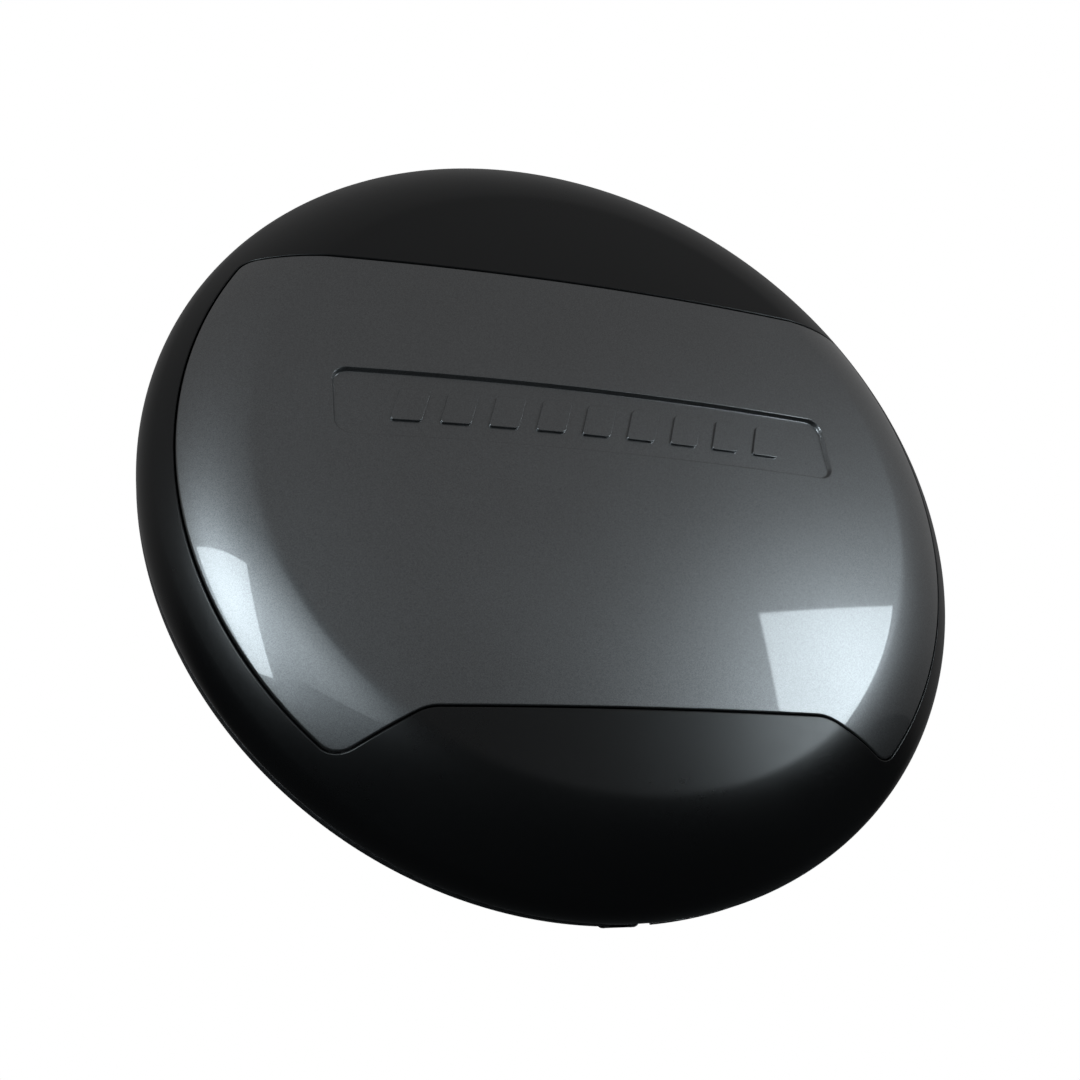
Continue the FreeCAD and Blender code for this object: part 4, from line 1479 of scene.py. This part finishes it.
@dataclass
class Buffers:
    """Eight rubber blocks between the shell's floor and the tyre's sidewall."""

    radius: float = 300.0 * MM
    back: float = 50.0 * MM
    width: float = 36.0 * MM
    length: float = 70.0 * MM
    corner: float = 8.0 * MM
    edge: float = 1.6 * MM
    wall: float = 3.0 * MM
    pocket: float = 7.5 * MM
    recess: float = 2.5 * MM
    angles: tuple[int, ...] = (0, 32, 90, 148, 180, 212, 270, 328)

    def blank(self) -> bmesh.types.BMesh:
        """One block about the origin, its bearing face towards +Y, with two shallow wells."""
        part = bmesh.new()
        bmesh.ops.create_cube(part, size=1.0)
        bmesh.ops.scale(part, verts=part.verts[:], vec=(self.width, 1.0, self.length))
        uprights = [e for e in part.edges if abs(e.verts[0].co.y - e.verts[1].co.y) > 0.5]
        bmesh.ops.bevel(
            part, geom=uprights, offset=self.corner, offset_type="OFFSET", affect="EDGES",
            segments=6, profile=0.5, material=-1)
        bmesh.ops.bisect_plane(
            part, geom=part.verts[:] + part.edges[:] + part.faces[:], dist=1e-6,
            plane_co=(0, 0, 0), plane_no=(0, 0, 1))
        wells = [f for f in part.faces if f.calc_center_median().y > 0.49]
        bmesh.ops.inset_individual(part, faces=wells, thickness=4.5 * MM)
        outer = [e for e in part.edges if all(v.co.y > 0.49 for v in e.verts)
                 and any(abs(f.normal.y) < 0.5 for f in e.link_faces)]
        floor_verts = {v for f in wells for v in f.verts}
        for vert in floor_verts:
            vert.co.y = 0.5 - self.recess
        bmesh.ops.bevel(
            part, geom=outer, offset=self.edge, offset_type="OFFSET", affect="EDGES",
            segments=3, profile=0.5, material=-1)
        return part

    def build(self, shop: Workshop) -> None:
        """Model and dress the blocks, one piece each.

        Args:
            shop: Finishes.
        """
        for number, clock in enumerate(self.angles, 1):
            part = self.blank()
            bmesh.ops.translate(part, verts=part.verts[:], vec=(self.radius, 0, 0))
            bmesh.ops.transform(part, matrix=clock_turn(clock), verts=part.verts[:])
            for vert in part.verts:
                x, z = vert.co.x, vert.co.z
                if vert.co.y > 0:
                    vert.co.y += -0.5 - self.back
                    continue
                sunk = self.pocket if SHAPES.outline.distance(x, z) > 0 else 0.0
                vert.co.y = DOME.place(x, z, self.wall + sunk)
            bmesh.ops.recalc_face_normals(part, faces=part.faces[:])
            piece = finish_mesh(part, f"sidewall_block_{number}")
            shop.dress(piece, Slot.RUBBER, Body.SHELL, f"buffer_{number}")


@dataclass
class RimSeal:
    """Rubber strip with two lips inside the shell's neck."""

    section: tuple[tuple[float, float], ...] = (
        (414.5, 4.6), (414.5, 13.0), (413.2, 13.0), (412.0, 12.2), (412.0, 10.6), (413.1, 9.8),
        (413.1, 7.8), (412.0, 7.0), (412.0, 5.4), (413.2, 4.6))

    def build(self, shop: Workshop) -> None:
        """Model and dress the strip.

        Args:
            shop: Finishes.
        """
        bm = bmesh.new()
        spin(bm, add_profile(bm, rounded(self.section, 0.4, 2), closed=True), 0, 360, 240)
        settle(bm)
        shop.dress(finish_mesh(bm, "neck_seal"), Slot.RUBBER, Body.SHELL, "rim_seal")


# --------------------------------------------------------------------------------------
# Clamp ring
# --------------------------------------------------------------------------------------


class Side(Enum):
    """The ring's two halves, by the direction they lie in."""

    LEFT = -1
    RIGHT = 1


@dataclass
class RingHalf:
    """One half of the clamp ring with its hinge eye and its ribbed rubber liner."""

    side: Side
    hinge_clock: float = 270.0
    gap: float = 3.2
    span: float = 176.2
    liner_gap: float = 4.0
    liner_span: float = 175.0
    eye_place: float = 416.4
    eye_side: float = 13.0
    eye_radius: float = 4.4
    bore_radius: float = 2.05
    eye_low: float = -12.4
    eye_high: float = -4.0
    arm_reach: float = 24.0
    section: tuple[tuple, ...] = (
        (411.0, -24.0, 0.7), (413.4, -24.0, 0.7), (413.4, 0.0, 1.2), (423.5, 0.0, 2.0),
        (423.5, 9.8, 2.0), (418.2, 9.8, 0.9), (418.2, 7.0, 0.9), (421.1, 7.0, 0.6),
        (421.1, 2.6, 0.6), (411.0, 2.6, 0.9))

    @property
    def body(self) -> Body:
        """Body that this half rides on."""
        return Body.RING_LEFT if self.side is Side.LEFT else Body.RING_RIGHT

    @property
    def start(self) -> float:
        """Clock angle where the half starts."""
        return self.hinge_clock + (self.gap if self.side is Side.RIGHT else -self.gap - self.span)

    def add_eye(self, bm: bmesh.types.BMesh) -> None:
        """Add the hinge eye and the arm that joins it to the band.

        Args:
            bm: The half's mesh.
        """
        low, high = self.eye_low, self.eye_high
        bore, rim = self.bore_radius, self.eye_radius
        ring = rounded([(bore, low), (rim, low), (rim, high), (bore, high)], 0.35, 2)
        across = self.side.value * self.eye_side
        upright = Matrix.Rotation(math.radians(90), 4, "X")
        place = clock_turn(self.hinge_clock) @ Matrix.Translation(
            (self.eye_place * MM, 0, across * MM)) @ upright
        join(bm, lathe(ring, 48), place)
        thick = self.eye_radius
        reach = self.arm_reach - self.bore_radius
        arm = block((thick * MM, (high - low) * MM, reach * MM), 0.7 * MM)
        middle = across + self.side.value * (self.arm_reach + self.bore_radius) / 2
        radial = self.eye_place - self.eye_radius + thick / 2
        join(bm, arm, clock_turn(self.hinge_clock) @ Matrix.Translation(
            (radial * MM, -(low + high) / 2 * MM, middle * MM)))

    def liner_section(self) -> list[tuple[float, float]]:
        """Section of the liner with grip ribs on its inner face, in metres."""
        ribs = 8
        low, high = -23.0, 2.0
        points = [(411.0, low), (411.0, high)]
        pitch = (high - low) / ribs
        for k in range(ribs):
            top = high - k * pitch
            points += [(408.0, top), (408.0, top - 0.62 * pitch), (408.8, top - 0.70 * pitch)]
            if k < ribs - 1:
                points.append((408.8, top - 0.92 * pitch))
        points.append((408.8, low))
        return rounded(points, 0.25, 1)

    def build(self, shop: Workshop) -> None:
        """Model and dress the half and its liner.

        Args:
            shop: Finishes.
        """
        name = self.side.name.lower()
        bm = bmesh.new()
        arc_body(bm, rounded(self.section, 0.6), self.start, self.span, 180)
        self.add_eye(bm)
        piece = finish_mesh(bm, f"clamp_half_{name}")
        shop.dress(piece, Slot.RING, self.body, f"ring_{name}")
        bm = bmesh.new()
        shift = self.liner_gap if self.side is Side.RIGHT else -self.liner_gap - self.liner_span
        arc_body(bm, self.liner_section(), self.hinge_clock + shift, self.liner_span, 180)
        shop.dress(finish_mesh(bm, f"grip_liner_{name}"), Slot.RUBBER, self.body, f"liner_{name}")


# --------------------------------------------------------------------------------------
# Studio
# --------------------------------------------------------------------------------------


@dataclass(frozen=True)
class Card:
    """A glowing card out of the camera's sight: a softbox with its own outline."""

    name: str
    place: tuple[float, float, float]
    facing: tuple[float, float, float]
    top_width: float
    foot_width: float
    height: float
    foot_shift: float
    radiance: float
    tint: tuple[float, float, float, float] = (0.88, 1.0, 1.06, 1.0)
    fade: float = 0.0

    def build(self) -> None:
        """Make the card."""
        bm = bmesh.new()
        bmesh.ops.create_grid(bm, x_segments=1, y_segments=1, size=0.5)
        for vert in bm.verts:
            at_foot = vert.co.y < 0
            width = self.foot_width if at_foot else self.top_width
            vert.co.x = vert.co.x * width + (self.foot_shift if at_foot else 0.0)
            vert.co.y *= self.height
        facing = Vector(self.facing).normalized()
        side = Vector((0, 0, 1)).cross(facing).normalized()
        turn = Matrix((side, facing.cross(side), facing)).transposed().to_4x4()
        bmesh.ops.transform(bm, matrix=Matrix.Translation(self.place) @ turn, verts=bm.verts[:])
        mesh = bpy.data.meshes.new(self.name)
        bm.to_mesh(mesh)
        bm.free()
        card = bpy.data.objects.new(self.name, mesh)
        bpy.context.scene.collection.objects.link(card)
        card.visible_camera = False
        material = bpy.data.materials.new(self.name)
        material.use_nodes = True
        material.node_tree.nodes.clear()
        graph = Graph(material.node_tree)
        glow = graph.add("ShaderNodeEmission", {"Color": self.tint, "Strength": self.radiance})
        if self.fade:
            where = graph.add("ShaderNodeTexCoord").outputs["Object"]
            away = graph.add(
                "ShaderNodeVectorMath", {0: where, 1: self.place}, operation="DISTANCE")
            left = graph.remap(away.outputs["Value"], 0.0, self.fade, self.radiance, 0.0)
            graph.tree.links.new(left, glow.inputs["Strength"])
        graph.add("ShaderNodeOutputMaterial", {"Surface": glow.outputs[0]})
        mesh.materials.append(material)


@dataclass
class Studio:
    """Floor, soft light and camera."""

    floor_height: float = -0.86
    floor_size: float = 40.0
    floor_glow: float = 0.50
    room_low: float = 0.01
    room_high: float = 0.20
    lens: float = 44.696
    eye: tuple[float, float, float] = (-0.49659, -1.08800, -0.67159)
    right: tuple[float, float, float] = (0.93615, -0.33376, -0.11059)
    up: tuple[float, float, float] = (-0.06756, -0.47941, 0.87499)
    back: tuple[float, float, float] = (-0.34505, -0.81165, -0.47135)
    cards: tuple[Card, ...] = (
        Card("left_softbox", place=(-1.916, -1.626, -0.180), facing=(0.707, 0.707, 0.0),
             top_width=1.10, foot_width=0.28, height=1.12, foot_shift=0.10, radiance=8.6),
        Card("left_spill", place=(-1.57, -3.23, -0.10), facing=(0.375, 0.927, -0.03),
             top_width=2.6, foot_width=2.6, height=2.6, foot_shift=0.0, radiance=2.4, fade=1.3),
        Card("back_fill", place=(1.1, 2.9, 1.0), facing=(-0.33, -0.90, -0.28),
             top_width=2.8, foot_width=2.8, height=2.4, foot_shift=0.0, radiance=11.0, fade=1.7),
        Card("right_softbox", place=(1.680, -1.710, 0.180), facing=(-0.659, 0.732, -0.174),
             top_width=0.57, foot_width=0.57, height=0.80, foot_shift=0.0, radiance=8.2),
    )

    def camera(self) -> None:
        """Set the camera."""
        data = bpy.data.cameras.new("camera")
        data.sensor_width = 36.0
        data.lens = self.lens
        data.clip_start, data.clip_end = 0.01, 100.0
        camera = bpy.data.objects.new("camera", data)
        columns = [Vector(v).normalized() for v in (self.right, self.up, self.back)]
        turn = Matrix(columns).transposed().to_4x4()
        camera.matrix_world = Matrix.Translation(self.eye) @ turn
        bpy.context.scene.collection.objects.link(camera)
        bpy.context.scene.camera = camera

    def floor(self) -> None:
        """Lay the plain pale floor."""
        bm = bmesh.new()
        bmesh.ops.create_grid(bm, x_segments=1, y_segments=1, size=self.floor_size / 2)
        bmesh.ops.translate(bm, verts=bm.verts[:], vec=(0, 0, self.floor_height))
        mesh = bpy.data.meshes.new("studio_floor")
        bm.to_mesh(mesh)
        bm.free()
        floor = bpy.data.objects.new("studio_floor", mesh)
        bpy.context.scene.collection.objects.link(floor)
        material = bpy.data.materials.new("studio_paper")
        material.use_nodes = True
        graph = Graph(material.node_tree)
        shader = material.node_tree.nodes["Principled BSDF"]
        where = graph.add("ShaderNodeTexCoord").outputs["Object"]
        speck = graph.remap(graph.noise(where, 3.0, 3.0), 0.3, 0.7, 0.80, 0.84)
        tone = graph.add("ShaderNodeCombineColor", {i: speck for i in range(3)})
        graph.tree.links.new(tone.outputs[0], shader.inputs["Base Color"])
        shader.inputs["Roughness"].default_value = 0.85
        shader.inputs["Emission Color"].default_value = (1.0, 1.0, 1.0, 1.0)
        seen = graph.add("ShaderNodeLightPath").outputs["Is Camera Ray"]
        glow = graph.times(seen, self.floor_glow)
        graph.tree.links.new(glow, shader.inputs["Emission Strength"])
        dim = graph.add("ShaderNodeBsdfDiffuse", {"Color": (0.04, 0.04, 0.04, 1.0)})
        both = graph.add(
            "ShaderNodeMixShader", {0: seen, 1: dim.outputs[0], 2: shader.outputs[0]})
        output = material.node_tree.nodes["Material Output"]
        graph.tree.links.new(both.outputs[0], output.inputs["Surface"])
        mesh.materials.append(material)

    def world(self) -> None:
        """Light the room: pale to the eye, dimmer for the light it gives."""
        world = bpy.data.worlds.new("studio")
        world.use_nodes = True
        bpy.context.scene.world = world
        graph = Graph(world.node_tree)
        shade = world.node_tree.nodes["Background"]
        seen = graph.add("ShaderNodeLightPath").outputs["Is Camera Ray"]
        where = graph.add("ShaderNodeTexCoord").outputs["Generated"]
        high = graph.add("ShaderNodeSeparateXYZ", {0: where}).outputs["Z"]
        room = graph.remap(high, -0.3, 0.35, self.room_low, self.room_high)
        level = graph.math("MAXIMUM", room, seen)
        shade.inputs["Color"].default_value = (1.0, 1.0, 1.0, 1.0)
        graph.tree.links.new(level, shade.inputs["Strength"])

    def build(self) -> None:
        """Set up the whole studio."""
        self.camera()
        self.floor()
        self.world()
        for card in self.cards:
            card.build()
        bpy.context.scene.view_settings.view_transform = "Standard"


def main() -> None:
    """Build the scene in order."""
    logging.basicConfig(level=logging.INFO, format="%(message)s")
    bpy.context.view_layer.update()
    shop = Workshop()
    slots = {}
    for part in frame["record"]["subparts"]:
        slots[part["node"]] = part["material_slot"]
    shop.dress_nodes(slots)
    OuterShell().build(shop)
    CentrePanel().build(shop)
    PanelScrews().build(shop)
    Buffers().build(shop)
    RimSeal().build(shop)
    for side in Side:
        RingHalf(side).build(shop)
    Studio().build()


if __name__ == "__main__":
    main()
